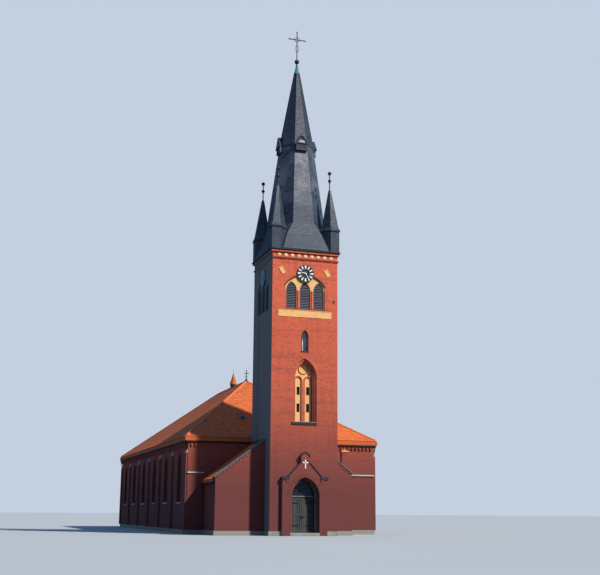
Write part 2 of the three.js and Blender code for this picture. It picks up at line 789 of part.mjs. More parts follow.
function annexChimney() {
  const { near, far, front, depth, top } = CHIMNEY;
  const stack = alongY(
    outline([
      annexPoint(RIGHT_ANNEX, near, VERGE_RISE - GAP),
      annexPoint(RIGHT_ANNEX, far, VERGE_RISE - GAP),
      [annexPoint(RIGHT_ANNEX, far, 0)[0], top],
      [annexPoint(RIGHT_ANNEX, near, 0)[0], top],
    ]),
    front,
    front + depth,
  );
  const reach = CHIMNEY_CAP.reach;
  const cap = box(
    [TOWER_HALF + near - reach, TOWER_HALF + far + reach],
    [front - reach, front + depth + reach],
    [top, CHIMNEY_CAP.top],
  );
  return piece("annex_chimney", join(stack, cap), brick);
}

// Nave walls are cut off under the four slopes of the roof
function roofSolid(shift, foot) {
  const eave = [
    [-ROOF.half, ROOF.front],
    [ROOF.half, ROOF.front],
    [ROOF.half, ROOF.back],
    [-ROOF.half, ROOF.back],
  ];
  return hull([
    ...eave.map(([x, y]) => new THREE.Vector3(x, y, foot)),
    ...eave.map(([x, y]) => new THREE.Vector3(x, y, ROOF.eave + shift)),
    new THREE.Vector3(0, ROOF_RIDGE_FRONT, ROOF.ridge + shift),
    new THREE.Vector3(0, ROOF_RIDGE_BACK, ROOF.ridge + shift),
  ]);
}

function underRoof(solid) {
  return solid.intersect(roofSolid(-ROOF.thickness - GAP, -1));
}

function naveFrontWall() {
  const { half, front, wall } = NAVE;
  const height = [0, ROOF.ridge];
  const slab = box([-half, half], [front, front + wall], height);
  const door = alongY(pointedArch({ ...INNER_DOOR, base: THRESHOLD }), front - 1, front + wall + 1);
  const plinthDepth = [front - ANNEX_PLINTH_STEP, front + 1];
  const leftEdge = -TOWER_HALF - LEFT_ANNEX.width - ANNEX_PLINTH_STEP - 1;
  const rightEdge = TOWER_HALF + RIGHT_ANNEX.width + ANNEX_PLINTH_STEP + 1;
  const plinths = [
    box([-half, leftEdge], plinthDepth, [0, PLINTH_TOP]),
    box([rightEdge, half], plinthDepth, [0, PLINTH_TOP]),
  ];
  return piece("nave_front_wall", join(cut(underRoof(slab), door), ...plinths), brick);
}

function naveWindowCentres() {
  const first = NAVE.front + NAVE_BAY_MARGIN;
  const last = NAVE.back - NAVE_BAY_MARGIN;
  return Array.from({ length: NAVE_BAYS }, (_, i) => first + ((last - first) * i) / (NAVE_BAYS - 1));
}

function naveSideWall(name, side) {
  const { half, front, back, wall } = NAVE;
  const across = (inner, outer) => (side < 0 ? [-outer, -inner] : [inner, outer]);
  const length = [front + wall + GAP, back - wall - GAP];
  const slab = underRoof(box(across(half - wall, half), length, [0, ROOF.ridge]));
  const plinth = box(across(half - 1, half + ANNEX_PLINTH_STEP), length, [0, PLINTH_TOP]);
  const [near, far] = across(half - wall - 1, half + ANNEX_PLINTH_STEP + 1);
  const windows = naveWindowCentres().map((centre) => alongX(pointedArch(NAVE_WINDOW, centre), near, far));
  return piece(name, cut(join(slab, plinth), ...windows), brick);
}

function naveBackWall() {
  const { half, back, wall } = NAVE;
  const slab = underRoof(box([-half, half], [back - wall, back], [0, ROOF.ridge]));
  const plinth = box([-half, half], [back - 1, back + ANNEX_PLINTH_STEP], [0, PLINTH_TOP]);
  return piece("nave_back_wall", join(slab, plinth), brick);
}

function naveGlass(name, side) {
  const inner = NAVE.half - NAVE.wall - GAP;
  const across = side < 0 ? [-inner, -inner + GLASS] : [inner - GLASS, inner];
  const centres = naveWindowCentres();
  const length = [centres[0] - NAVE_GLASS.reach, centres[NAVE_BAYS - 1] + NAVE_GLASS.reach];
  return piece(name, box(across, length, [NAVE_GLASS.foot, NAVE_GLASS.top]), windowGlass);
}

function naveFloor() {
  const half = NAVE.half - NAVE.wall - GAP;
  const length = [NAVE.front + NAVE.wall + GAP, NAVE.back - NAVE.wall - GAP];
  return piece("nave_floor", box([-half, half], length, [0, NAVE.floor]), paleStone);
}

// One slope of the roof: its corners in plan with their heights, and a slab hung below them
function roofSlope(corners) {
  return hull(
    corners.flatMap(([x, y, z]) => [
      new THREE.Vector3(x, y, z),
      new THREE.Vector3(x, y, z - ROOF.thickness),
    ]),
  );
}

function naveRoofSide(name, side) {
  const { half, front, back, eave, ridge } = ROOF;
  const slope = roofSlope([
    [side * half, front, eave],
    [side * half, back, eave],
    [0, ROOF_RIDGE_BACK, ridge],
    [0, ROOF_RIDGE_FRONT, ridge],
  ]);
  return piece(name, slope.translate([side * GAP, 0, 0]), roofTile);
}

function roofVent() {
  const { x, y, half, rise, length } = ROOF_VENT;
  const pitch = (ROOF.ridge - ROOF.eave) / (ROOF_RIDGE_FRONT - ROOF.front);
  const surface = ROOF.eave + (y - ROOF.front) * pitch;
  const gable = outline([
    [x - half, surface - rise / 2],
    [x + half, surface - rise / 2],
    [x + half, surface + rise / 2],
    [x, surface + rise],
    [x - half, surface + rise / 2],
  ]);
  return alongY(gable, y, y + length);
}

function naveRoofFront() {
  const { half, front, eave, ridge } = ROOF;
  const slope = roofSlope([
    [-half, front, eave],
    [half, front, eave],
    [0, ROOF_RIDGE_FRONT, ridge],
  ]).translate([0, -GAP, 0]);
  const vent = cut(roofVent(), roofSolid(-ROOF.thickness / 2, 0));
  const edge = TOWER_HALF + 2 * GAP;
  const tower = box([-edge, edge], [0, edge], [0, ROOF.ridge]);
  return piece("nave_roof_front", cut(join(slope, vent), tower), roofTile);
}

function naveRoofBack() {
  const { half, back, eave, ridge } = ROOF;
  const slope = roofSlope([
    [-half, back, eave],
    [half, back, eave],
    [0, ROOF_RIDGE_BACK, ridge],
  ]);
  return piece("nave_roof_back", slope.translate([0, GAP, 0]), roofTile);
}

function onRoof(solid) {
  return cut(solid, roofSolid(2 * GAP, 0));
}

function ridgeCross() {
  const { half, top, armHeight, arm, base, baseTop } = RIDGE_CROSS;
  const y = ROOF_RIDGE_FRONT;
  const foot = ROOF.ridge - base;
  const solid = join(
    box([-base, base], [y - base, y + base], [foot, baseTop]),
    box([-half, half], [y - half, y + half], [foot, top]),
    box([-arm, arm], [y - half, y + half], [armHeight - half, armHeight + half]),
  );
  return piece("ridge_cross", onRoof(solid), iron);
}

function fleche() {
  const { y, radius, eave, eaveRadius, spike, top } = FLECHE;
  const body = octagonal([
    [0, ROOF.ridge - radius],
    [radius, ROOF.ridge - radius],
    [radius, eave],
    [eaveRadius, eave],
    [eaveRadius, eave + 40],
    [40, spike],
    [20, spike + 20],
    [20, top - 20],
    [0, top],
  ]).translate([0, y, 0]);
  return piece("fleche", onRoof(body), roofTile);
}

// Everything that sits on one face of the tower, drawn for the front and turned into place
function towerFace(pieces, quarterTurns) {
  const group = new THREE.Group();
  group.rotation.z = (quarterTurns * Math.PI) / 2;
  group.add(...pieces);
  return group;
}

function tower() {
  const group = new THREE.Group();
  group.add(
    towerPlinth(),
    frontPier("front_pier_left", -1),
    frontPier("front_pier_right", 1),
    towerFloor("ground_floor", THRESHOLD, paleStone),
    ...Object.entries(FLOOR_TOPS).map(([name, top]) => towerFloor(name, top, floorWood)),
    towerFace([frontWall(), belfryScreen("belfry_screen_front"), ...clock("front")], 0),
    towerFace([sideWall("left_wall"), belfryScreen("belfry_screen_left"), ...clock("left")], -1),
    towerFace([sideWall("right_wall"), belfryScreen("belfry_screen_right"), ...clock("right")], 1),
    towerFace([backWall(), belfryScreen("belfry_screen_back")], 2),
    nichePanel(),
    nicheGlass(),
    lancetGlass(),
    inscriptionBand(),
    towerCornice(),
  );
  return group;
}

function entrance() {
  const group = new THREE.Group();
  group.add(
    portalSurround(),
    portalCross(),
    doorFrame(),
    doorLeaf("door_leaf_left", -1),
    doorLeaf("door_leaf_right", 1),
  );
  return group;
}

function spire() {
  const group = new THREE.Group();
  group.add(
    spireSkirt(),
    spireLower(),
    lucarneRing(),
    spireUpper(),
    spireFinial(),
    ...Object.entries(TURRET_CORNERS).map(([name, signs]) => turret(name, signs)),
  );
  return group;
}

function annexes() {
  const group = new THREE.Group();
  group.add(
    annexWalls("annex_left_walls", LEFT_ANNEX),
    annexRoof("annex_left_roof", LEFT_ANNEX),
    annexWalls("annex_right_walls", RIGHT_ANNEX),
    annexRoof("annex_right_roof", RIGHT_ANNEX),
    annexChimney(),
  );
  return group;
}

function nave() {
  const group = new THREE.Group();
  group.add(
    naveFrontWall(),
    naveSideWall("nave_left_wall", -1),
    naveSideWall("nave_right_wall", 1),
    naveBackWall(),
    naveFloor(),
    naveGlass("nave_glass_left", -1),
    naveGlass("nave_glass_right", 1),
    naveRoofFront(),
    naveRoofBack(),
    naveRoofSide("nave_roof_left", -1),
    naveRoofSide("nave_roof_right", 1),
    ridgeCross(),
    fleche(),
  );
  return group;
}

const church = new THREE.Group();
church.add(tower(), entrance(), spire(), annexes(), nave());

export default church;
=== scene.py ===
import logging
import math
from dataclasses import dataclass, replace
from enum import Enum
from typing import ClassVar, Sequence

import bpy
import numpy as np
from mathutils import Matrix


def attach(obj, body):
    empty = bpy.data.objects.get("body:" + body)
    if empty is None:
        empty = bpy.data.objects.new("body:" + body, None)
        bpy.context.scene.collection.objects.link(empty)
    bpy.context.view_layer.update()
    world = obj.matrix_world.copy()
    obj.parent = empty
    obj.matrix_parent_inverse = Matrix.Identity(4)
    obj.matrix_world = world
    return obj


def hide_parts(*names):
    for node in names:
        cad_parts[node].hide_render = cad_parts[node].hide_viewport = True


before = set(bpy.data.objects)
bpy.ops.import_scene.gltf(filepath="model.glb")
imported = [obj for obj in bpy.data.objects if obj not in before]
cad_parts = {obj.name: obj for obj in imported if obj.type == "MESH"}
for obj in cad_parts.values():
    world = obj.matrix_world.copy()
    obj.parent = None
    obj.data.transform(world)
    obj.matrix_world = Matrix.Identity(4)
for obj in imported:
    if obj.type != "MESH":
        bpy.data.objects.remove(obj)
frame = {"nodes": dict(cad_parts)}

LOG = logging.getLogger("church")
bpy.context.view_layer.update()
CHURCH = "church"
TOWER_HALF = 2.45
FRONT = -TOWER_HALF
ANNEX_FRONT = -1.2
SIDES = ((-1, "left"), (1, "right"))
RNG = np.random.default_rng(1904)
Colour = tuple[float, float, float, float]


def srgb(red: int, green: int, blue: int) -> Colour:
    """A colour as a screen shows it, turned into the shader's linear values.

    Args:
        red: Red from 0 to 255.
        green: Green from 0 to 255.
        blue: Blue from 0 to 255.

    Returns:
        Linear red, green, blue and full cover.
    """
    shown = np.array([red, green, blue]) / 255.0
    linear = np.where(shown <= 0.04045, shown / 12.92, ((shown + 0.055) / 1.055) ** 2.4)
    return (*linear.tolist(), 1.0)


class Face(Enum):
    """The four faces of the tower, as quarter turns from the entrance front."""

    FRONT = 0
    RIGHT = 1
    BACK = 2
    LEFT = 3


# Surfaces worked out as arrays
@dataclass
class Shell:
    """Points, faces and one tone for each face, before they become a mesh."""

    points: np.ndarray
    faces: list
    tones: np.ndarray

    def facing(self, side: Face) -> "Shell":
        """A shell drawn for the front, turned about the tower's axis to another face."""
        flat = turned(self.points[:, :2], side.value * math.pi / 2)
        return Shell(np.column_stack([flat, self.points[:, 2]]), self.faces, self.tones)


def joined(shells: Sequence[Shell]) -> Shell:
    """Several shells as one, their faces renumbered in turn.

    Args:
        shells: The shells.

    Returns:
        One shell with all their faces.
    """
    starts = np.cumsum([0] + [len(shell.points) for shell in shells])
    faces = []
    for shell, start in zip(shells, starts.tolist()):
        faces += [[index + start for index in face] for face in shell.faces]
    points = np.vstack([shell.points for shell in shells])
    return Shell(points, faces, np.concatenate([shell.tones for shell in shells]))


def spots(x: float | np.ndarray, y: float | np.ndarray, z: float | np.ndarray) -> np.ndarray:
    """Points in rows; each coordinate is one number for all or a number for each."""
    return np.column_stack(np.broadcast_arrays(np.atleast_1d(x), y, z)).astype(float)


def turned(outline: Sequence, angle: float) -> np.ndarray:
    """Flat points turned about their origin, counter-clockwise for a positive angle."""
    cosine, sine = math.cos(angle), math.sin(angle)
    return np.asarray(outline, float) @ [[cosine, sine], [-sine, cosine]]


def oblong(left: float, right: float, low: float, high: float) -> list:
    """Corners of an upright oblong, clockwise from its lower left one."""
    return [(left, low), (left, high), (right, high), (right, low)]


def circle(x: float, z: float, radius: float, steps: int) -> np.ndarray:
    """X and Z of points at equal angles round a circle, clockwise from its top."""
    angle = np.arange(steps) * 2 * math.pi / steps
    return np.column_stack([x + radius * np.sin(angle), z + radius * np.cos(angle)])


def blocks(corners: np.ndarray, tones: float | np.ndarray | None = None) -> Shell:
    """Six-sided blocks from their corners: four round one end, then the four opposite them.

    A block whose corners run the wrong way round, found by the sign of the volume that its three
    edges at the first corner span, is renumbered so that its faces point out.

    Args:
        corners: Array of shape (blocks, 8, 3).
        tones: One number from 0 to 1 a block, or none for seeded chance.

    Returns:
        All blocks as one shell.
    """
    corners = np.asarray(corners, float).reshape(-1, 8, 3)
    across, along, upward = (corners[:, i] - corners[:, 0] for i in (1, 3, 4))
    volume = np.einsum("ij,ij->i", np.cross(across, along), upward)
    flipped = corners[:, [0, 3, 2, 1, 4, 7, 6, 5]]
    corners = np.where((volume < 0)[:, None, None], flipped, corners)
    count = len(corners)
    sides = np.array([[0, 3, 2, 1], [4, 5, 6, 7], [0, 1, 5, 4], [1, 2, 6, 5], [2, 3, 7, 6], [3, 0, 4, 7]])
    faces = (sides[None] + 8 * np.arange(count)[:, None, None]).reshape(-1, 4)
    shade = RNG.random(count) if tones is None else np.broadcast_to(tones, (count,))
    return Shell(corners.reshape(-1, 3), faces.tolist(), np.repeat(shade, 6))


def cuboids(low: Sequence, high: Sequence, tones: float | np.ndarray | None = None) -> Shell:
    """Straight blocks between lowest and highest corners.

    Args:
        low: Lowest corners, shape (blocks, 3) or (3,).
        high: Highest corners, of the same shape.
        tones: One number a block, or none for seeded chance.

    Returns:
        The blocks as one shell.
    """
    low, high = np.atleast_2d(np.asarray(low, float)), np.atleast_2d(np.asarray(high, float))
    pick = np.array([[0, 0, 0], [1, 0, 0], [1, 1, 0], [0, 1, 0], [0, 0, 1], [1, 0, 1], [1, 1, 1], [0, 1, 1]])
    return blocks(low[:, None] * (1 - pick) + high[:, None] * pick, tones)


def grid_faces(rows: int, columns: int, closed: bool = False) -> list:
    """Four-sided faces of a bar: rows of points, each row running round it.

    Args:
        rows: Number of rows.
        columns: Points in a row.
        closed: Joins the last row to the first; otherwise two end faces close the bar.

    Returns:
        The faces as lists of point numbers.
    """
    row = np.arange(rows if closed else rows - 1)[:, None]
    column = np.arange(columns)[None]
    following = (column + 1) % columns
    above = ((row + 1) % rows) * columns
    here = row * columns
    corners = np.broadcast_arrays(here + column, here + following, above + following, above + column)
    faces = np.stack(corners, -1).reshape(-1, 4).tolist()
    last = (rows - 1) * columns
    return faces if closed else faces + [list(range(columns))[::-1], list(range(last, last + columns))]


def facing_out(points: np.ndarray, faces: list, tone: float = 0.5) -> Shell:
    """A closed shell with its faces turned outwards.

    The signed volume is summed over fans of triangles from each face's first corner to the
    shell's middle; where the sum is negative every face is reversed.

    Args:
        points: The shell's points.
        faces: Its faces, all turned the same way.
        tone: Tone of all faces.

    Returns:
        The shell.
    """
    middle = points.mean(0)
    fans = np.array([(face[0], face[i], face[i + 1]) for face in faces for i in range(1, len(face) - 1)])
    first, second, third = (points[fans[:, i]] - middle for i in range(3))
    if np.einsum("ij,ij->i", first, np.cross(second, third)).sum() < 0:
        faces = [face[::-1] for face in faces]
    return Shell(points, faces, np.full(len(faces), tone))


def mitred(path: np.ndarray, closed: bool = False) -> np.ndarray:
    """Sideways directions at the corners of a flat path, lengthened so that the mitres meet.

    Each segment's unit direction is turned a quarter left; a corner takes the mean of its two
    neighbours, divided by the cosine of half the angle between them, which counts as 0.35 at
    least so that a sharp corner stays short.

    Args:
        path: The path's corners.
        closed: Whether the path closes on itself.

    Returns:
        One direction a corner.
    """
    step = np.diff(np.vstack([path, path[:1]]) if closed else path, axis=0)
    step /= np.linalg.norm(step, axis=1)[:, None]
    left = np.column_stack([-step[:, 1], step[:, 0]])
    before = np.roll(left, 1, axis=0) if closed else np.vstack([left[:1], left])
    after = left if closed else np.vstack([left, left[-1:]])
    mean = before + after
    mean /= np.linalg.norm(mean, axis=1)[:, None]
    least = 0.35
    return mean / np.maximum(np.einsum("ij,ij->i", mean, after), least)[:, None]


def moulding(path: Sequence, profile: Sequence, face: float = FRONT, closed: bool = False) -> Shell:
    """A profile carried along a path drawn on a wall that faces -Y.

    A point is the path's corner plus its mitred sideways direction times the profile's first
    number, and it stands in front of the wall by the profile's second number.

    Args:
        path: X and Z of the path's corners; left of the way along it is outwards.
        profile: Closed outline as (outwards, forwards) pairs.
        face: Y of the wall's face.
        closed: Whether the path closes on itself.

    Returns:
        The closed moulding.
    """
    path, profile = np.asarray(path, float), np.asarray(profile, float)
    flat = path[:, None] + mitred(path, closed)[:, None] * profile[None, :, :1]
    forward = np.broadcast_to(face - profile[None, :, 1], flat.shape[:2])
    points = np.stack([flat[..., 0], forward, flat[..., 1]], -1).reshape(-1, 3)
    return facing_out(points, grid_faces(len(path), len(profile), closed))


def bead(radius: float, outwards: float = 0.0, forwards: float = 0.0, sides: int = 8) -> np.ndarray:
    """A round profile: its centre outwards and forwards, and points at equal angles round it."""
    angle = (np.arange(sides) + 0.5) * 2 * math.pi / sides
    return np.column_stack([outwards + radius * np.cos(angle), forwards + radius * np.sin(angle)])


def rectangle(out_from: float, out_to: float, back: float, front: float) -> np.ndarray:
    """A rectangular profile between two distances outwards and two forwards."""
    return np.array([[out_from, back], [out_to, back], [out_to, front], [out_from, front]])


def tube(path: Sequence, radii: Sequence | float, sides: int = 8, half: bool = False) -> Shell:
    """A round bar along points in space, with a radius at each.

    At each point a circle lies across the mean direction; its first axis is the upright made
    square to that direction, or +Y where the way is upright.

    Args:
        path: Points of the bar's middle.
        radii: Radius at each point, or one for all.
        sides: Sides of the bar.
        half: Keeps the lower half flat, as on a ridge tile.

    Returns:
        The closed bar.
    """
    path = np.asarray(path, float)
    way = np.gradient(path, axis=0)
    way /= np.linalg.norm(way, axis=1)[:, None]
    upright, underside = 0.95, -0.25 if half else -1.0
    side = np.cross(way, np.where(np.abs(way[:, 2:]) > upright, [[0.0, 1.0, 0.0]], [[0.0, 0.0, 1.0]]))
    side /= np.linalg.norm(side, axis=1)[:, None]
    top = np.cross(side, way)
    over, up = bead(1.0, sides=sides).T[:, None, :, None]
    ring = over * side[:, None] + np.maximum(up, underside) * top[:, None]
    points = path[:, None] + np.broadcast_to(radii, (len(path),))[:, None, None] * ring
    return facing_out(points.reshape(-1, 3), grid_faces(len(path), sides))


def lathe(profile: Sequence, sides: int = 24, x: float = 0.0, y: float = 0.0, turn: float = 0.0) -> Shell:
    """A profile turned about an upright axis; it starts and ends near the axis.

    Args:
        profile: Radius and height pairs from below to above.
        sides: Number of sides.
        x: X of the axis.
        y: Y of the axis.
        turn: Share of a side by which the corners are turned; half sets an octagon's flats square.

    Returns:
        The closed turned shape.
    """
    radius, height = np.asarray(profile, float).T[:, :, None]
    angle = (np.arange(sides) + turn) * 2 * math.pi / sides
    places = np.broadcast_arrays(x + radius * np.cos(angle), y + radius * np.sin(angle), height)
    return facing_out(np.stack(places, -1).reshape(-1, 3), grid_faces(len(radius), sides))


def disc_on_wall(profile: Sequence, x: float, z: float, face: float = FRONT, sides: int = 24) -> Shell:
    """A turned shape whose axis stands out of a wall facing -Y.

    Args:
        profile: (radius, distance in front of the wall) pairs, from the wall outwards.
        x: X of the axis.
        z: Height of the axis.
        face: Y of the wall's face.
        sides: Number of sides.

    Returns:
        The closed shape.
    """
    shape = lathe(profile, sides)
    across, up, out = shape.points.T
    return facing_out(np.column_stack([across + x, face - out, up + z]), shape.faces)


def slab(outline: Sequence, face: float, front: float) -> Shell:
    """A flat outline in X and Z given a thickness along Y.

    Args:
        outline: X and Z of the outline's corners.
        face: Y of one side.
        front: Y of the other.

    Returns:
        The closed slab.
    """
    x, z = np.asarray(outline, float).T
    return facing_out(np.vstack([spots(x, face, z), spots(x, front, z)]), grid_faces(2, len(x)))


@dataclass(frozen=True)
class PointedArch:
    """Two arcs that meet in a point; each is struck from a centre beyond the middle."""

    half: float
    spring: float
    lean: float
    centre: float = 0.0

    def curve(self, extra: float = 0.0, steps: int = 12) -> np.ndarray:
        """The arch from its left to its right springing.

        Each half is centre plus radius times cosine and sine, from the springing to the angle
        whose cosine is the lean over the radius.

        Args:
            extra: Distance outside the opening.
            steps: Steps in each half.

        Returns:
            X and Z of its points.
        """
        radius = self.half + self.lean + extra
        angle = np.linspace(0.0, math.acos(self.lean / radius), steps + 1)
        right = np.column_stack([radius * np.cos(angle) - self.lean, self.spring + radius * np.sin(angle)])
        return np.vstack([right * [-1, 1], right[::-1][1:]]) + [self.centre, 0.0]

    def with_legs(self, foot: float, extra: float = 0.0, steps: int = 12) -> np.ndarray:
        """The same curve with straight legs down to `foot`."""
        curve = self.curve(extra, steps)
        return np.vstack([[curve[0, 0], foot], curve, [curve[-1, 0], foot]])

    def height_at(self, x: np.ndarray, extra: float = 0.0) -> np.ndarray:
        """Height of the arch over each x: the springing plus the root of radius² less reach²."""
        reach = np.abs(x - self.centre) + self.lean
        return self.spring + np.sqrt(np.maximum((self.half + self.lean + extra) ** 2 - np.square(reach), 0.0))


@dataclass(frozen=True)
class FlatArch:
    """A low arch struck from one centre, which lies one radius below the crown."""

    half: float
    spring: float
    crown: float

    @property
    def radius(self) -> float:
        """Radius of the arc."""
        rise = self.crown - self.spring
        return (self.half**2 + rise**2) / (2 * rise)

    def curve(self, count: int) -> np.ndarray:
        """This many points of the arc from left to right, at equal angles.

        Args:
            count: Number of points.

        Returns:
            X and Z of the points.
        """
        start = math.asin(1 - (self.crown - self.spring) / self.radius)
        angle = np.linspace(math.pi - start, start, count)
        return self.radius * np.column_stack([np.cos(angle), np.sin(angle)]) + [0.0, self.crown - self.radius]

    def height_at(self, x: np.ndarray) -> np.ndarray:
        """Height of the arc over each x."""
        return self.crown - self.radius + np.sqrt(self.radius**2 - np.square(x))


def arch_bricks(arch: PointedArch, inner: float, outer: float, steps: int, proud: float,
                back: float = FRONT) -> Shell:
    """Wedge bricks between two curves of an arch.

    Brick i spans corners i to i + 1 of both curves, drawn in at each end by a tenth of its own
    length, which leaves the joints.

    Args:
        arch: The opening's arch.
        inner: Distance of the bricks' inner curve outside the opening.
        outer: Distance of their outer curve.
        steps: Bricks on each side.
        proud: How far their faces stand in front of their back.
        back: Y of their back.

    Returns:
        The ring of bricks.
    """
    joint = 0.1
    corners = []
    for y in (back, back - proud):
        for extra, start in ((inner, 0), (inner, 1), (outer, 1), (outer, 0)):
            curve = arch.curve(extra, steps)
            near, far = (curve[1:], curve[:-1]) if start else (curve[:-1], curve[1:])
            x, z = (near * (1 - joint) + far * joint).T
            corners.append(spots(x, y, z))
    return blocks(np.stack(corners, 1))


@dataclass(frozen=True)
class Coursing:
    """Overlapping plates laid in rows up a slope, such as slates or tiles."""

    width: float
    reveal: float
    thickness: float
    joint: float = 0.006
    wobble: float = 0.004
    seat: float = 0.002
    overlap: float = 0.02
    least: float = 0.03

    def lay(self, corners: Sequence, outward: Sequence) -> Shell:
        """Covers one flat facet whose foot and head are level.

        Row r spans heights r and r + 1 times the reveal up the slope, and its plates are shifted
        by half a width in every other row. Each plate is cut at the facet's slanting sides. Its
        head lies on the facet and its tail is lifted by one thickness, so the rows overlap.

        Args:
            corners: Left and right end of the foot, then right and left end of the head.
            outward: A direction on the facet's outer side.

        Returns:
            The plates as closed wedges.
        """
        a, b, c, d = np.asarray(corners, float)
        across = (b - a) / np.linalg.norm(b - a)
        up = ((c + d) - (a + b)) / 2
        up -= across * (up @ across)
        height = np.linalg.norm(up)
        up /= height
        normal = np.cross(across, up)
        normal *= math.copysign(1.0, normal @ np.asarray(outward, float))
        foot, head_right, head_left = ((p - a) @ across for p in (b, c, d))
        rows = max(round(height / self.reveal), 1)
        first = math.floor(min(0.0, head_left) / self.width) - 1
        last = math.ceil(max(foot, head_right) / self.width) + 1
        row, column = np.meshgrid(np.arange(rows), np.arange(first, last), indexing="ij")
        left = (column + 0.5 * (row % 2)) * self.width + RNG.uniform(-self.wobble, self.wobble, row.shape)
        right = left + self.width - self.joint
        tail = row * (height / rows) + RNG.uniform(-self.wobble, self.wobble, row.shape) * (row > 0)
        head = np.minimum((row + 1) * (height / rows) + self.overlap, height)
        flat = []
        for x, v in ((left, tail), (right, tail), (right, head), (left, head)):
            share = np.clip(v / height, 0.0, 1.0)
            flat.append((np.clip(x, head_left * share, foot + (head_right - foot) * share), v))
        keep = ((flat[1][0] - flat[0][0]) + (flat[2][0] - flat[3][0])) > self.least
        plates = []
        for rise in (0.0, self.thickness):
            for (x, v), lift in zip(flat, (self.thickness, self.thickness, 0.0, 0.0)):
                out = self.seat + lift + rise
                plates.append(a + x[keep][:, None] * across + v[keep][:, None] * up + out * normal)
        return blocks(np.stack(plates, 1))


# Node trees
Socket = bpy.types.NodeSocket
Source = Socket | float | tuple


@dataclass
class Board:
    """The nodes of one material or group, with short ways to add and join them."""

    tree: bpy.types.NodeTree

    def add(self, kind: str, feeds: dict | None = None, **settings: object) -> bpy.types.Node:
        """Adds a node.

        Args:
            kind: The node's type.
            feeds: For each input, by its number or name, another socket or a plain value.
            settings: Its own properties.

        Returns:
            The node.
        """
        node = self.tree.nodes.new(kind)
        for name, value in settings.items():
            setattr(node, name, value)
        for key, source in (feeds or {}).items():
            self.feed(node.inputs[key], source)
        return node

    def feed(self, socket: Socket, source: Source) -> None:
        """Joins a socket to another, or sets its plain value.

        Args:
            socket: The socket that takes the value.
            source: Another socket or a plain value.
        """
        if isinstance(source, Socket):
            self.tree.links.new(source, socket)
        else:
            socket.default_value = source

    def math(self, operation: str, first: Source, second: Source = 0.0) -> Socket:
        """One sum on one or two numbers."""
        return self.add("ShaderNodeMath", {0: first, 1: second}, operation=operation).outputs[0]

    def times(self, first: Source, second: Source) -> Socket:
        """The product of two numbers."""
        return self.math("MULTIPLY", first, second)

    def mix(self, share: Source, first: Source, second: Source) -> Socket:
        """A colour between two, by a share from 0 to 1."""
        return self.add("ShaderNodeMix", {0: share, 6: first, 7: second}, data_type="RGBA").outputs[2]

    def between(self, share: Source, first: Source, second: Source) -> Socket:
        """A number between two, by a share from 0 to 1."""
        return self.add("ShaderNodeMix", {0: share, 2: first, 3: second}, data_type="FLOAT").outputs[0]

    def span(self, value: Source, low: float, high: float, start: float = 0.0, end: float = 1.0) -> Socket:
        """A smooth step of a value between low and high, given out from start to end."""
        feeds = dict(enumerate((value, low, high, start, end)))
        return self.add("ShaderNodeMapRange", feeds, interpolation_type="SMOOTHSTEP").outputs[0]

    def place(self) -> Socket:
        """Object coordinates."""
        return self.add("ShaderNodeTexCoord").outputs["Object"]

    def parts(self, vector: Source) -> bpy.types.NodeOutputs:
        """X, Y and Z of a vector."""
        return self.add("ShaderNodeSeparateXYZ", {0: vector}).outputs

    def scaled(self, vector: Source, scale: Sequence[float]) -> Socket:
        """Coordinates stretched along each axis."""
        return self.add("ShaderNodeMapping", {"Vector": vector, "Scale": scale}).outputs[0]

    def noise(self, vector: Source, scale: Source, detail: float = 3.0, roughness: float = 0.55) -> Socket:
        """Smooth noise from 0 to 1."""
        feeds = {"Vector": vector, "Scale": scale, "Detail": detail, "Roughness": roughness}
        return self.add("ShaderNodeTexNoise", feeds).outputs["Fac"]

    def tone(self) -> Socket:
        """The tone number that new pieces hold on each face."""
        return self.add("ShaderNodeAttribute", attribute_name="tone").outputs["Fac"]

    def group(self, tree: bpy.types.NodeTree, **values: float) -> bpy.types.NodeOutputs:
        """Places a shared group, feeds its named inputs and gives its outputs."""
        return self.add("ShaderNodeGroup", values, node_tree=tree).outputs


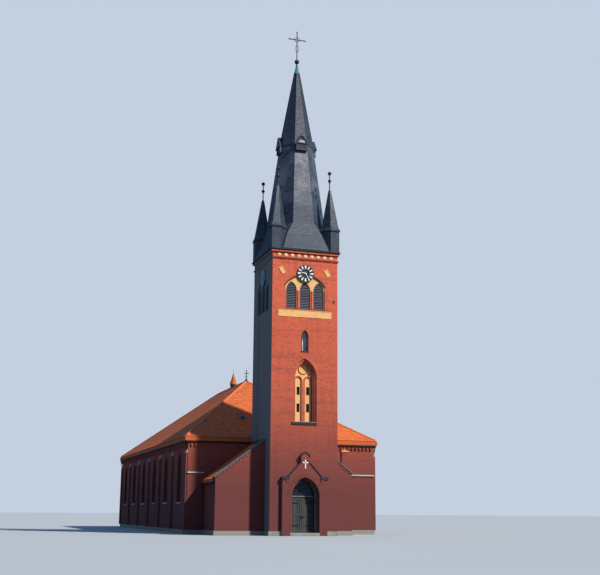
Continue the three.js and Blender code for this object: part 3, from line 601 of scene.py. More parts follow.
class SharedGroups:
    """Node groups that several finishes use, each built once."""

    def __init__(self) -> None:
        """Builds every group."""
        self.plane = self._wall_plane()
        self.bond = self._bond()
        self.streaks = self._streaks()
        self.grain = self._grain()
        self.damp = self._damp()
        self.painted_shade = self._painted_shade_group()

    @staticmethod
    def _opened(name: str, **inputs: float) -> tuple[Board, bpy.types.NodeOutputs]:
        """A new group with number inputs.

        Args:
            name: The group's name.
            inputs: Its inputs with their usual values.

        Returns:
            The group's board and its inputs, to draw from.
        """
        board = Board(bpy.data.node_groups.new(name, "ShaderNodeTree"))
        for label, value in inputs.items():
            socket = board.tree.interface.new_socket(label, in_out="INPUT", socket_type="NodeSocketFloat")
            socket.default_value = value
        return board, board.add("NodeGroupInput").outputs

    @staticmethod
    def _closed(board: Board, **outputs: Source) -> bpy.types.NodeTree:
        """Gives a group its outputs.

        Args:
            board: The group's board.
            outputs: What each output carries; one called Plane is a vector.

        Returns:
            The finished group.
        """
        for label in outputs:
            kind = "NodeSocketVector" if label == "Plane" else "NodeSocketFloat"
            board.tree.interface.new_socket(label, in_out="OUTPUT", socket_type=kind)
        board.add("NodeGroupOutput", outputs)
        return board.tree

    def _wall_plane(self) -> bpy.types.NodeTree:
        """Coordinates that lie on a wall: along it, then up it, whichever way it faces.

        Returns:
            The group.
        """
        board, _ = self._opened("wall_plane")
        coords = board.add("ShaderNodeTexCoord").outputs
        place = board.parts(coords["Object"])
        sizes = [board.math("ABSOLUTE", part) for part in board.parts(coords["Normal"])]
        sideways = board.math("GREATER_THAN", sizes[0], sizes[1])
        level = board.math("GREATER_THAN", sizes[2], 0.9)
        feeds = {0: board.between(sideways, place[0], place[1]), 1: board.between(level, place[2], place[1])}
        return self._closed(board, Plane=board.add("ShaderNodeCombineXYZ", feeds).outputs[0])

    def _bond(self) -> bpy.types.NodeTree:
        """Courses of long and short bricks in turn: a tone for each brick and the joints' mask.

        Returns:
            The group.
        """
        board, given = self._opened("brick_bond", Length=0.25, Course=0.077, Joint=0.006)
        feeds = {"Vector": board.group(self.plane)["Plane"], "Color1": (0, 0, 0, 1), "Color2": (1, 1, 1, 1),
                 "Mortar": (0.5, 0.5, 0.5, 1), "Scale": 1.0, "Mortar Smooth": 0.2,
                 "Mortar Size": given["Joint"], "Brick Width": given["Length"], "Row Height": given["Course"]}
        pattern = {"offset": 0.25, "offset_frequency": 2, "squash": 0.5, "squash_frequency": 2}
        node = board.add("ShaderNodeTexBrick", feeds, **pattern)
        return self._closed(board, Tone=node.outputs["Color"], Gap=node.outputs["Fac"])

    def _streaks(self) -> bpy.types.NodeTree:
        """Marks that rain draws down a wall: noise that is long upright and short across.

        Returns:
            The group.
        """
        board, given = self._opened("rain_streaks", Width=0.2)
        place = board.place()
        fine = board.math("DIVIDE", 1.0, given["Width"])
        streak = board.noise(board.scaled(place, (1.0, 1.0, 0.06)), fine, 4.0, 0.6)
        broad = board.noise(place, 0.35, 2.0)
        mask = board.times(board.span(streak, 0.45, 0.75), board.span(broad, 0.35, 0.65))
        return self._closed(board, Mask=mask)

    def _grain(self) -> bpy.types.NodeTree:
        """Fine and coarse roughness together, as a height from 0 to 1.

        Returns:
            The group.
        """
        board, given = self._opened("fine_grain", Scale=20.0)
        place = board.place()
        fine = board.noise(place, board.times(given["Scale"], 4.0), 4.0, 0.65)
        return self._closed(board, Height=board.between(0.4, fine, board.noise(place, given["Scale"])))

    def _damp(self) -> bpy.types.NodeTree:
        """Damp and dirt near the ground, with an upper edge that is ragged by 0.6 m either way.

        Returns:
            The group.
        """
        board, given = self._opened("ground_damp", Top=1.6)
        place = board.place()
        feeds = {0: board.noise(place, 1.3, 4.0), 1: 1.2, 2: -0.6}
        ragged = board.add("ShaderNodeMath", feeds, operation="MULTIPLY_ADD").outputs[0]
        level = board.math("SUBTRACT", board.parts(place)["Z"], ragged)
        share = board.math("SUBTRACT", 1.0, board.math("DIVIDE", level, given["Top"]))
        return self._closed(board, Mask=board.span(share, 0.0, 1.0))

    def _painted_shade_group(self) -> bpy.types.NodeTree:
        """Painted shade on the tower's shaded left side: a mask of faces that look towards -X, and what lies
        within its left skin.

        Returns:
            The group.
        """
        board, _ = self._opened("painted_shade_side")
        coords = board.add("ShaderNodeTexCoord").outputs
        place = board.parts(coords["Object"])
        faces_left = board.span(board.parts(coords["Normal"])["X"], -0.95, -0.6, 1.0, 0.0)
        outermost, innermost, half, roofs = -2.8, -2.19, 2.44, 7.0
        on_tower = board.math("GREATER_THAN", place["X"], outermost)
        on_left = board.math("LESS_THAN", place["X"], innermost)
        between = board.math("LESS_THAN", board.math("ABSOLUTE", place["Y"]), half)
        above_roofs = board.math("GREATER_THAN", place["Z"], roofs)
        skin = board.times(board.times(on_left, between), above_roofs)
        return self._closed(board, Mask=board.times(board.math("MAXIMUM", faces_left, skin), on_tower))


@dataclass
class Coat(Board):
    """The nodes of one material, with its shader and the shared groups."""

    shader: bpy.types.Node
    shared: SharedGroups

    def grain(self, scale: float) -> Socket:
        """A fine roughness, as a height."""
        return self.group(self.shared.grain, Scale=scale)[0]

    def bond(self, length: float, course: float, joint: float = 0.006) -> bpy.types.NodeOutputs:
        """Tone and joints of bricks, blocks or panes of this size."""
        return self.group(self.shared.bond, Length=length, Course=course, Joint=joint)

    def runs(self, width: float) -> Socket:
        """A mask of run marks of this width."""
        return self.group(self.shared.streaks, Width=width)[0]

    def streaked(self, colour: Source, width: float, share: float, dirt: Colour) -> Socket:
        """A colour with run marks of this width."""
        return self.mix(self.times(self.runs(width), share), colour, dirt)

    def damped(self, colour: Source, top: float, share: float, dirt: Colour) -> Socket:
        """A colour with damp up to this height."""
        return self.mix(self.times(self.group(self.shared.damp, Top=top)[0], share), colour, dirt)

    def painted_shade_mix(self, colour: Source, share: Source, grey: Colour) -> Socket:
        """A colour mixed towards a painted shade colour on the tower's shaded left side (-X)."""
        return self.mix(self.times(self.group(self.shared.painted_shade)[0], share), colour, grey)

    def cover(self, colour: Source, roughness: Source | None, relief: Source, depth: float,
              strength: float) -> None:
        """Feeds the shader.

        Args:
            colour: The base colour.
            roughness: The roughness, or none where the finish has one plain value.
            relief: Height of the surface.
            depth: Depth of the relief in metres.
            strength: Strength of the relief.
        """
        self.feed(self.shader.inputs["Base Color"], colour)
        if roughness is not None:
            self.feed(self.shader.inputs["Roughness"], roughness)
        bump = self.add("ShaderNodeBump", {"Height": relief, "Distance": depth, "Strength": strength})
        self.feed(self.shader.inputs["Normal"], bump.outputs["Normal"])


# Finishes
@dataclass(frozen=True)
class Finish:
    """A material with its own colour, wear, roughness and relief, and the slot that it usually fills."""

    name: str
    slot: str = "white_paint"
    roughness: float = 0.8
    metallic: float = 0.0

    def material(self, shared: SharedGroups) -> bpy.types.Material:
        """Builds the material.

        Args:
            shared: The groups to draw on.

        Returns:
            The finished material.
        """
        material = bpy.data.materials.new(self.name)
        material.use_nodes = True
        shader = material.node_tree.nodes["Principled BSDF"]
        shader.inputs["Roughness"].default_value = self.roughness
        shader.inputs["Metallic"].default_value = self.metallic
        self.paint(Coat(material.node_tree, shader, shared))
        return material

    def paint(self, coat: Coat) -> None:
        """Adds this finish's own nodes."""
        raise NotImplementedError


@dataclass(frozen=True)
class Brickwork(Finish):
    """Fired bricks in lime mortar, over a stone plinth where the node has one."""

    slot: str = "brick"
    light: Colour = srgb(244, 114, 74)
    dark: Colour = srgb(214, 84, 53)
    joint: Colour = srgb(214, 116, 84)
    # Dark brown for smoke marks, damp and run marks, and for painted shade near the ground.
    soot_and_shade: Colour = srgb(100, 50, 50)
    # Grey mixed in on the tower's left side as painted shade.
    painted_shade: Colour = srgb(116, 124, 124)
    plinth: tuple = (srgb(172, 166, 152), srgb(128, 122, 110))
    plinth_top: float = -1.0
    joint_mask: bool = True

    def paint(self, coat: Coat) -> None:
        """Tone by brick, course lines, painted shade that darkens the wall towards the ground, and painted
        shade on the tower's shaded left side (-X).

        Args:
            coat: The material\'s nodes.
        """
        place = coat.place()
        level = coat.parts(place)["Z"]
        grain = coat.grain(14.0)
        bond = coat.bond(0.25, 0.077) if self.joint_mask else {"Tone": coat.tone(), "Gap": 0.0}
        tone, gap = bond["Tone"], bond["Gap"]
        colour = coat.mix(coat.between(0.35, tone, grain), self.dark, self.light)
        colour = coat.mix(coat.span(coat.noise(place, 0.22), 0.35, 0.75, 0.0, 0.25), colour, self.joint)
        colour = coat.mix(coat.span(tone, 0.82, 0.96, 0.0, 0.5), colour, self.soot_and_shade)
        courses = coat.noise(coat.scaled(place, (0.12, 0.12, 3.2)), 1.0, 3.0, 0.6)
        colour = coat.mix(coat.span(courses, 0.5, 0.72, 0.0, 0.3), colour, self.soot_and_shade)
        # Painted shade: the wall mixes towards the dark brown, most near the ground, less with height and not
        # at all by 19 m.
        low, high = coat.span(level, 2.5, 11.5, 0.93, 0.2), coat.span(level, 11.5, 19.0, 0.0, -0.2)
        colour = coat.mix(coat.math("ADD", low, high), coat.mix(gap, colour, self.joint), self.soot_and_shade)
        colour = coat.damped(coat.streaked(colour, 0.25, 0.3, self.soot_and_shade), 1.4, 0.4, self.soot_and_shade)
        if self.plinth_top > 0:
            above = coat.math("GREATER_THAN", level, self.plinth_top)
            colour = coat.mix(above, coat.mix(grain, *self.plinth), colour)
        # Painted shade: faces on the tower's shaded left side mix towards a grey colour.
        colour = coat.painted_shade_mix(colour, coat.between(tone, 1.0, 0.8), self.painted_shade)
        relief = coat.math("SUBTRACT", coat.times(grain, 0.5), gap)
        coat.cover(colour, coat.between(grain, 0.75, 0.95), relief, 0.008, 0.7)


@dataclass(frozen=True)
class Stonework(Finish):
    """Dressed pale stone, laid in long blocks or cut in one piece."""

    slot: str = "pale_stone"
    light: Colour = srgb(190, 184, 170)
    dark: Colour = srgb(140, 135, 124)
    block: float = 0.85
    course: float = 0.3

    def paint(self, coat: Coat) -> None:
        """Tone by block, fine joints, tooled grain and dirt at the ground.

        Args:
            coat: The material\'s nodes.
        """
        grain = coat.grain(9.0)
        bond = coat.bond(self.block, self.course, 0.004)
        colour = coat.mix(coat.between(0.5, bond["Tone"], grain), self.dark, self.light)
        colour = coat.mix(bond["Gap"], colour, srgb(110, 104, 94))
        colour = coat.streaked(colour, 0.15, 0.4, srgb(92, 90, 82))
        colour = coat.damped(colour, 0.5, 0.35, srgb(96, 98, 82))
        coat.cover(colour, None, coat.math("SUBTRACT", coat.times(grain, 0.6), bond["Gap"]), 0.006, 0.8)


@dataclass(frozen=True)
class Plaster(Finish):
    """Painted lime plaster with faint cracks and rain marks."""

    slot: str = "plaster"
    base: Colour = srgb(246, 190, 122)
    worn: Colour = srgb(232, 172, 104)
    stain: Colour = srgb(186, 140, 92)

    def paint(self, coat: Coat) -> None:
        """Cloudy paint, hairline cracks from cell edges, streaks, and painted shade on the tower's shaded
        left side.

        Args:
            coat: The material\'s nodes.
        """
        place = coat.place()
        colour = coat.mix(coat.span(coat.noise(place, 2.4, 4.0, 0.6), 0.35, 0.75), self.base, self.worn)
        cells = coat.add("ShaderNodeTexVoronoi", {"Vector": place, "Scale": 1.7}, feature="DISTANCE_TO_EDGE")
        crack = coat.math("LESS_THAN", cells.outputs["Distance"], 0.006)
        dirt = coat.math("MAXIMUM", coat.times(crack, 0.5), coat.times(coat.runs(0.12), 0.3))
        # Painted shade: faces on the tower's shaded left side mix towards a cool grey.
        colour = coat.painted_shade_mix(coat.mix(dirt, colour, self.stain), 0.85, srgb(112, 116, 116))
        coat.cover(colour, None, coat.math("SUBTRACT", coat.grain(25.0), crack), 0.004, 0.6)


@dataclass(frozen=True)
class Slates(Finish):
    """Dark glossy slates, each of its own tone, with lichen and paler weathered patches."""

    slot: str = "slate"
    light: Colour = srgb(56, 68, 86)
    dark: Colour = srgb(36, 45, 60)
    pale: Colour = srgb(102, 110, 122)
    lichen: Colour = srgb(78, 78, 66)
    crown: Colour = srgb(46, 50, 62)
    spread: float = 0.07

    def paint(self, coat: Coat) -> None:
        """Tone by slate, a paler zone in mid-height, a darker crown, lichen spots and run marks.

        Args:
            coat: The material\'s nodes.
        """
        place = coat.place()
        tone = coat.tone()
        level = coat.parts(place)["Z"]
        zone = coat.times(coat.span(level, 23.0, 25.5), coat.span(level, 28.0, 29.0, 1.0, 0.0))
        patch = coat.span(coat.noise(place, 0.8, 4.0, 0.6), 0.35, 0.7)
        share = coat.times(patch, coat.between(zone, 0.15, 0.95))
        colour = coat.mix(share, coat.mix(tone, self.dark, self.light), self.pale)
        colour = coat.mix(coat.span(level, 28.6, 32.0, 0.0, 0.6), colour, self.crown)
        growth = coat.noise(place, 9.0, 5.0, 0.7)
        colour = coat.mix(coat.span(growth, 0.58, 0.72, 0.0, 0.4), colour, self.lichen)
        colour = coat.streaked(colour, 0.18, 0.5, srgb(46, 54, 62))
        coat.feed(coat.shader.inputs["Specular IOR Level"], coat.between(zone, 0.3, 0.5))
        roughness = coat.between(tone, self.roughness - self.spread, self.roughness + self.spread)
        coat.cover(colour, roughness, coat.grain(18.0), 0.002, 0.4)


@dataclass(frozen=True)
class ClayTiles(Finish):
    """Orange clay roof tiles, each of its own tone, with soot and moss."""

    slot: str = "roof_tile"
    light: Colour = srgb(222, 116, 52)
    dark: Colour = srgb(194, 92, 42)
    moss: Colour = srgb(110, 84, 52)

    def paint(self, coat: Coat) -> None:
        """Tone by tile, mottled firing, moss spots and dark run marks.

        Args:
            coat: The material\'s nodes.
        """
        grain = coat.grain(10.0)
        colour = coat.mix(coat.between(0.3, coat.tone(), grain), self.dark, self.light)
        growth = coat.noise(coat.place(), 3.0, 5.0, 0.7)
        colour = coat.mix(coat.span(growth, 0.58, 0.75, 0.0, 0.5), colour, self.moss)
        coat.cover(coat.streaked(colour, 0.3, 0.3, srgb(110, 52, 38)), None, grain, 0.004, 0.6)


@dataclass(frozen=True)
class SheetMetal(Finish):
    """Weathered sheet: a bare tone, a patina and a height up to which the patina has spread."""

    slot: str = "slate"
    base: Colour = srgb(70, 76, 82)
    patina: Colour = srgb(112, 120, 124)
    patina_top: float = 100.0
    share: float = 0.5

    def paint(self, coat: Coat) -> None:
        """Cloudy patina below its upper limit, streaks and a beaten surface.

        Args:
            coat: The material\'s nodes.
        """
        place = coat.place()
        start = 0.62 - self.share * 0.5
        cloud = coat.span(coat.noise(place, 5.0, 5.0, 0.65), start, start + 0.18)
        limit = (self.patina_top - 0.05, self.patina_top + 0.05)
        covered = coat.times(cloud, coat.span(coat.parts(place)["Z"], *limit, 1.0, 0.12))
        colour = coat.streaked(coat.mix(covered, self.base, self.patina), 0.08, 0.4, srgb(40, 42, 44))
        coat.cover(colour, coat.between(covered, self.roughness, 0.85), coat.grain(12.0), 0.003, 0.5)


@dataclass(frozen=True)
class Timber(Finish):
    """Boards with grain along one axis, stained or weathered."""

    slot: str = "dark_wood"
    light: Colour = srgb(104, 66, 44)
    dark: Colour = srgb(58, 36, 26)
    stretch: tuple = (14.0, 14.0, 0.9)

    def paint(self, coat: Coat) -> None:
        """Long grain lines, tone by board and worn patches.

        Args:
            coat: The material\'s nodes.
        """
        place = coat.place()
        lines = coat.noise(coat.scaled(place, self.stretch), 1.6, 6.0, 0.65)
        share = coat.between(0.45, lines, coat.tone())
        colour = coat.mix(coat.span(share, 0.25, 0.75), self.dark, self.light)
        colour = coat.mix(coat.span(coat.noise(place, 2.2), 0.6, 0.8, 0.0, 0.4), colour, self.light)
        relief = coat.math("ADD", lines, coat.grain(30.0))
        coat.cover(colour, coat.between(lines, 0.5, 0.8), relief, 0.003, 0.7)


@dataclass(frozen=True)
class OldGlass(Finish):
    """Dark window glass in small panes that each lie a little differently."""

    slot: str = "window_glass"
    base: Colour = srgb(66, 76, 84)
    painted_reflection: Colour = srgb(158, 168, 172)
    pane: float = 0.22

    def paint(self, coat: Coat) -> None:
        """Tone by pane towards a painted reflection colour, thin dark leads and a wavy surface.

        Args:
            coat: The material\'s nodes.
        """
        bond = coat.bond(self.pane, self.pane)
        lead = coat.times(bond["Gap"], 0.6)
        # Painted reflection: each pane mixes towards a paler colour, standing in for the light it reflects.
        colour = coat.mix(coat.span(bond["Tone"], 0.4, 1.0, 0.0, 0.8), self.base, self.painted_reflection)
        colour = coat.mix(bond["Gap"], colour, srgb(36, 38, 40))
        relief = coat.math("ADD", coat.noise(coat.place(), 3.0, 2.0), lead)
        coat.cover(colour, coat.between(lead, 0.08, 0.7), relief, 0.006, 0.35)


@dataclass(frozen=True)
class Paint(Finish):
    """A coat of paint or enamel with dirt and a faint brush relief."""

    base: Colour = srgb(238, 236, 228)
    dirt: Colour = srgb(150, 146, 134)
    amount: float = 0.35

    def paint(self, coat: Coat) -> None:
        """Dirt in clouds and run marks over the coat, and painted shade in a cool blue on the tower's shaded
        left side.

        Args:
            coat: The material\'s nodes.
        """
        cloud = coat.noise(coat.place(), 7.0, 4.0, 0.6)
        soiled = coat.math("MAXIMUM", coat.span(cloud, 0.55, 0.8), coat.runs(0.06))
        colour = coat.mix(coat.times(soiled, self.amount), self.base, self.dirt)
        # Painted shade: faces on the tower's shaded left side mix towards a cool blue.
        colour = coat.painted_shade_mix(colour, 0.6, srgb(92, 124, 152))
        coat.cover(colour, coat.between(soiled, self.roughness, 0.85), coat.grain(40.0), 0.0015, 0.4)


@dataclass(frozen=True)
class PaleFloor(Finish):
    """The plain pale floor; it throws little light back, as grass and paving would."""

    base: Colour = srgb(176, 180, 182)
    thrown: Colour = srgb(92, 96, 96)

    def paint(self, coat: Coat) -> None:
        """One pale colour with the faintest cloud, darker for light that bounces off it.

        Args:
            coat: The material\'s nodes.
        """
        pale = coat.mix(coat.noise(coat.place(), 0.05, 2.0), self.base, srgb(170, 174, 176))
        seen = coat.add("ShaderNodeLightPath").outputs["Is Camera Ray"]
        coat.feed(coat.shader.inputs["Base Color"], coat.mix(seen, self.thrown, pale))


class Palette:
    """Every finish of the church as a material, by its plain name."""

    FINISHES: Sequence[Finish] = (
        Brickwork("wall_brick"),
        Brickwork("wall_brick_on_plinth", plinth_top=0.3),
        # Moulded brick takes a darker painted shade on its left-facing faces, such as the niche's right
        # reveal.
        Brickwork("moulded_brick", light=srgb(240, 122, 84), dark=srgb(214, 96, 66), painted_shade=srgb(78, 78, 88),
                  joint_mask=False),
        # Grey brick that paints the shade on the belfry's left face.
        Brickwork("painted_shade_brick", light=srgb(108, 110, 114), dark=srgb(92, 94, 98), joint_mask=False),
        Brickwork("dark_brick", light=srgb(96, 50, 44), dark=srgb(66, 36, 36), joint_mask=False),
        Stonework("pale_stone"),
        Stonework("grey_stone", light=srgb(118, 120, 126), dark=srgb(86, 88, 96), block=1.1, course=50.0),
        Stonework("cut_stone", light=srgb(188, 186, 176), dark=srgb(150, 150, 142), block=1.1, course=50.0),
        Plaster("cream_plaster"),
        # Grey plaster that paints the shade on the belfry's left face.
        Plaster("painted_shade_plaster", base=srgb(122, 124, 120), worn=srgb(108, 110, 108), stain=srgb(88, 90, 92)),
        Plaster("pale_plaster", base=srgb(252, 214, 160), worn=srgb(240, 194, 132)),
        Slates("grey_slate", roughness=0.54),
        Slates("dark_slate", "slate", 0.65, 0.0, srgb(50, 56, 66), srgb(34, 38, 48), srgb(58, 64, 74)),
        ClayTiles("clay_tile"),
        ClayTiles("ridge_tile", light=srgb(224, 130, 78), dark=srgb(196, 100, 58)),
        SheetMetal("green_copper", "copper", 0.5, 0.3, srgb(36, 34, 38), srgb(74, 138, 130), 35.5, 0.9),
        SheetMetal("grey_lead", "slate", 0.55, 0.2, srgb(40, 46, 55), srgb(54, 62, 72)),
        SheetMetal("gutter_zinc", "iron", 0.5, 0.2, srgb(28, 32, 40), srgb(38, 44, 54)),
        Paint("black_iron", "iron", 0.45, 0.5, srgb(34, 34, 36), srgb(92, 62, 46)),
        Paint("rusty_iron", "iron", 0.8, 0.0, srgb(138, 66, 52), srgb(112, 56, 44)),
        Paint("dial_enamel", "iron", 0.3, 0.0, srgb(30, 34, 42), srgb(56, 60, 66), 0.25),
        Paint("light_zinc", roughness=0.45, metallic=0.2, base=srgb(156, 162, 166), dirt=srgb(104, 110, 112)),
        Paint("white_paint", roughness=0.5),
        Paint("cream_paint", roughness=0.6, base=srgb(150, 142, 132)),
        Timber("door_oak", light=srgb(72, 70, 72), dark=srgb(42, 42, 46)),
        Timber("grey_slats", "louvre_wood", light=srgb(100, 100, 110), dark=srgb(80, 80, 90),
               stretch=(1.2, 1.2, 18.0)),
        Timber("floor_boards", "floor_wood", light=srgb(150, 114, 78), dark=srgb(112, 80, 52),
               stretch=(9.0, 0.8, 9.0)),
        OldGlass("window_glass", roughness=0.1),
        # Pale glass whose colour paints the sky's reflection on the lancet.
        OldGlass("painted_reflection_glass", roughness=0.3, base=srgb(208, 210, 216), painted_reflection=srgb(246, 246, 248)),
        OldGlass("dark_glass", roughness=0.12, base=srgb(28, 30, 40), painted_reflection=srgb(48, 52, 62)),
        PaleFloor("pale_floor", roughness=0.9),
    )

    def __init__(self) -> None:
        """Builds all materials once."""
        shared = SharedGroups()
        self.made = {finish.name: finish.material(shared) for finish in self.FINISHES}
        self.slots = {finish.name: finish.slot for finish in self.FINISHES}


def placed(name: str, data: bpy.types.ID) -> bpy.types.Object:
    """A new object of this name, linked to the scene.

    Args:
        name: The object's name.
        data: Its mesh, light or camera.

    Returns:
        The object.
    """
    made = bpy.data.objects.new(name, data)
    bpy.context.scene.collection.objects.link(made)
    return made


@dataclass
class Workshop:
    """Turns shells into named pieces that ride on a body and wear a finish.

    WORN lists the nodes that keep their shape, by the finish that each of them wears.
    """

    WORN = {
        "wall_brick": "front_pier_left front_pier_right front_wall left_wall right_wall back_wall "
                      "tower_cornice portal_surround annex_chimney",
        "wall_brick_on_plinth": "annex_left_walls annex_right_walls nave_front_wall nave_left_wall "
                                "nave_right_wall nave_back_wall",
        "pale_stone": "tower_plinth ground_floor nave_floor",
        "floor_boards": "gallery_floor belfry_floor",
        "cream_plaster": "niche_panel inscription_band",
        "window_glass": "nave_glass_left nave_glass_right",
        "painted_reflection_glass": "lancet_glass",
        "dark_glass": "niche_glass",
        "dial_enamel": "clock_dial_front clock_dial_left clock_dial_right",
        "white_paint": "hour_hand_front hour_hand_left hour_hand_right minute_hand_front minute_hand_left "
                       "minute_hand_right",
        "grey_slate": "spire_skirt spire_lower spire_upper lucarne_ring",
        "grey_lead": "turret_front_left turret_front_right turret_back_left turret_back_right",
        "green_copper": "spire_finial",
        "clay_tile": "annex_left_roof annex_right_roof nave_roof_front nave_roof_back nave_roof_left "
                     "nave_roof_right fleche",
        "black_iron": "ridge_cross",
        "door_oak": "door_frame door_leaf_left door_leaf_right",
    }
    palette: Palette
    count: int = 0

    def piece(self, name: str, shells: Shell | Sequence[Shell], finish: str, slot: str = "",
              body: str = CHURCH, stands_for: Sequence[str] = (), smooth: float | None = None,
              bevel: float = 0.0) -> None:
        """Makes one object from one or more shells.

        Args:
            name: The piece's name.
            shells: What it is made of.
            finish: The finish's name in the palette.
            slot: A material slot, or none for the finish's usual one; it is not used.
            body: The body it rides on.
            stands_for: Nodes that it replaces.
            smooth: Angle in degrees under which edges look rounded, or none for flat faces.
            bevel: Width of a bevel in metres, or none.
        """
        shell = shells if isinstance(shells, Shell) else joined(shells)
        mesh = bpy.data.meshes.new(name)
        mesh.from_pydata(shell.points.tolist(), [], shell.faces)
        tone = mesh.attributes.new("tone", "FLOAT", "FACE")
        tone.data.foreach_set("value", np.ascontiguousarray(shell.tones, np.float32))
        mesh.materials.append(self.palette.made[finish])
        if smooth is not None:
            mesh.shade_smooth()
            mesh.set_sharp_from_angle(angle=math.radians(smooth))
        mesh.update()
        made = placed(name, mesh)
        if bevel:
            edge = made.modifiers.new("edge", "BEVEL")
            edge.width = bevel
            edge.segments = 1
            edge.limit_method = "ANGLE"
        slot = slot or self.palette.slots[finish]
        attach(made, body)
        if stands_for:
            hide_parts(*stands_for)
        self.count += 1
        LOG.info("%s: %d faces, %s", name, len(shell.faces), finish)

    def dress(self) -> None:
        """Gives the nodes that keep their shape a better material."""
        for finish, nodes in self.WORN.items():
            for name in nodes.split():
                data = frame["nodes"][name].data
                data.materials.clear()
                data.materials.append(self.palette.made[finish])
                LOG.info("%s wears %s", name, finish)


# Sub-assemblies
class Assembly:
    """A part of the church; all parts make their pieces in one shared workshop."""

    shop: ClassVar[Workshop]

    def build(self) -> None:
        """Makes this part's pieces."""
        raise NotImplementedError


@dataclass
class Shaft(Assembly):
    """Small things fixed to the tower's faces."""

    anchor: tuple = (2.19, 16.42)
    rod: tuple = (FRONT - 0.03, 0.9)

    def build(self) -> None:
        """Makes the wall anchor and the conductor with its clips."""
        x, z = self.anchor
        bars = cuboids([[x - 0.12, FRONT - 0.03, z - 0.02], [x - 0.02, FRONT - 0.03, z - 0.12]],
                       [[x + 0.12, FRONT, z + 0.02], [x + 0.02, FRONT, z + 0.12]])
        profile = [(0.001, 0.0), (0.05, 0.0), (0.05, 0.035), (0.02, 0.06), (0.001, 0.062)]
        self.shop.piece("wall_anchor", [bars, disc_on_wall(profile, x, z, sides=12)], "rusty_iron")
        x, y = self.rod
        radius, clip, apart = 0.012, [0.05, 0.04, 0.03], 1.5
        rod = tube([(x, y, 0.35), (x, y, 10.0), (x, y, 19.25)], radius, 6)
        low = spots(x - 0.02, y - 0.02, np.arange(1.0, 19.0, apart))
        self.shop.piece("conductor_rod", [rod, cuboids(low, low + clip)], "black_iron")


@dataclass
class Portal(Assembly):
    """The gabled entrance: stepped arch orders, slate copings, corbels and the glazed arch head."""

    face: float = -2.70
    frame: float = -2.0
    outer: PointedArch = PointedArch(1.07, 2.63, 0.28)
    reveal: PointedArch = PointedArch(0.9, 2.63, 0.28)
    foot: float = 0.205
    transom: float = 2.685

    def build(self) -> None:
        """Makes all the portal's pieces."""
        self._arch()
        self._copings()
        self._corbels()
        self._arch_head()
        step = cuboids((-1.06, -2.745, 0.0), (1.06, -2.695, 0.185), 0.6)
        self.shop.piece("entrance_step", step, "cut_stone", bevel=0.012)
        front = self.face - 0.002
        cross = cuboids([(-0.043, front - 0.04, 4.50), (-0.205, front - 0.04, 4.865)],
                        [(0.043, front, 5.10), (0.205, front, 4.95)], 0.5)
        self.shop.piece("slim_cross", cross, "white_paint", stands_for=["portal_cross"], bevel=0.006)

    def _arch(self) -> None:
        """A ring of header bricks, a lit bead at its edge and two orders that step back to the doors."""
        ring = arch_bricks(self.outer, 0.0, 0.24, 24, 0.012, self.face)
        self.shop.piece("portal_arch_bricks", ring, "moulded_brick", bevel=0.002)
        step = rectangle(-0.05, 0.0749, -0.2495, -0.13)
        orders = [
            moulding(self.outer.with_legs(self.foot), bead(0.04, 0.0, -0.025, 10), self.face),
            moulding(self.outer.with_legs(self.foot, -0.075), step, self.face),
            moulding(self.reveal.with_legs(self.foot), bead(0.035, sides=10)),
        ]
        self.shop.piece("portal_arch_orders", orders, "moulded_brick", smooth=40)

    def _copings(self) -> None:
        """Flat slabs on the shoulders and slim slabs up the slopes and over the crest."""
        left = np.array([(-1.20, 3.965), (-1.16, 3.995), (-0.34, 4.885)])
        slope = [(-0.035, -0.245), (0.045, -0.245), (0.06, -0.05), (0.055, 0.045), (0, 0.05), (-0.035, 0.03)]
        crest = [(-0.35, 5.33), (-0.20, 5.52), (0.0, 5.62), (0.20, 5.52), (0.35, 5.33)]
        cap = [(-0.04, -0.245), (0.05, -0.245), (0.055, -0.04), (0.05, 0.04), (-0.025, 0.045), (-0.04, 0.03)]
        runs = ((left, slope), (left[::-1] * [-1, 1], slope), (crest, cap))
        copings = [moulding(*run, self.face) for run in runs]
        self.shop.piece("portal_copings", copings, "dark_slate", smooth=20)
        back, front = self.face + 0.245, self.face - 0.05
        wide, low, high = 0.56, 3.735, 3.955
        slabs = [cuboids((x, front, low), (x + wide, back, high), 0.4) for x in (-1.68, 1.12)]
        self.shop.piece("portal_shoulder_slabs", slabs, "dark_slate", bevel=0.012)

    def _corbels(self) -> None:
        """Three stepped corbels under each shoulder and one beside each end of the crest."""
        corbels = []
        inner, outer, high = 1.14, 1.30, 0.085
        for side, _ in SIDES:
            for reach, top in ((0.04, 3.74), (0.028, 3.65), (0.016, 3.56)):
                near, far = sorted((side * inner, side * (outer + 2 * reach)))
                corbels.append(cuboids((near, self.face - reach, top - high), (far, self.face, top)))
        for near, far in ((-0.29, -0.21), (0.21, 0.29)):
            corbels.append(cuboids((near, self.face - 0.025, 4.87), (far, self.face, 5.26)))
        self.shop.piece("portal_corbels", corbels, "moulded_brick", bevel=0.004)

    def _arch_head(self) -> None:
        """The slim light transom and the dark leaded arch head in front of the frame's solid head."""
        rail = moulding([(-0.895, 2.645), (0.895, 2.645)], rectangle(-0.025, 0.025, -0.03, 0.035), self.frame)
        self.shop.piece("door_transom", rail, "cream_paint", "dark_wood", bevel=0.004)
        outline = self.reveal.with_legs(self.transom, -0.03, 14)
        glass = slab(outline, self.frame - 0.001, self.frame - 0.007)
        self.shop.piece("arch_head_glass", glass, "dark_glass")
        path = self.reveal.with_legs(self.transom, -0.06)
        ring = moulding(path, rectangle(-0.03, 0.03, 0.0, 0.035), self.frame)
        xs = np.array([-0.45, 0.0, 0.45])
        bars = cuboids(spots(xs - 0.022, self.frame - 0.035, self.transom),
                       spots(xs + 0.022, self.frame, self.reveal.height_at(xs, -0.07)))
        cross = cuboids((-0.8, self.frame - 0.028, 3.05), (0.8, self.frame, 3.09))
        self.shop.piece("arch_head_bars", [ring, bars, cross], "door_oak", bevel=0.003)


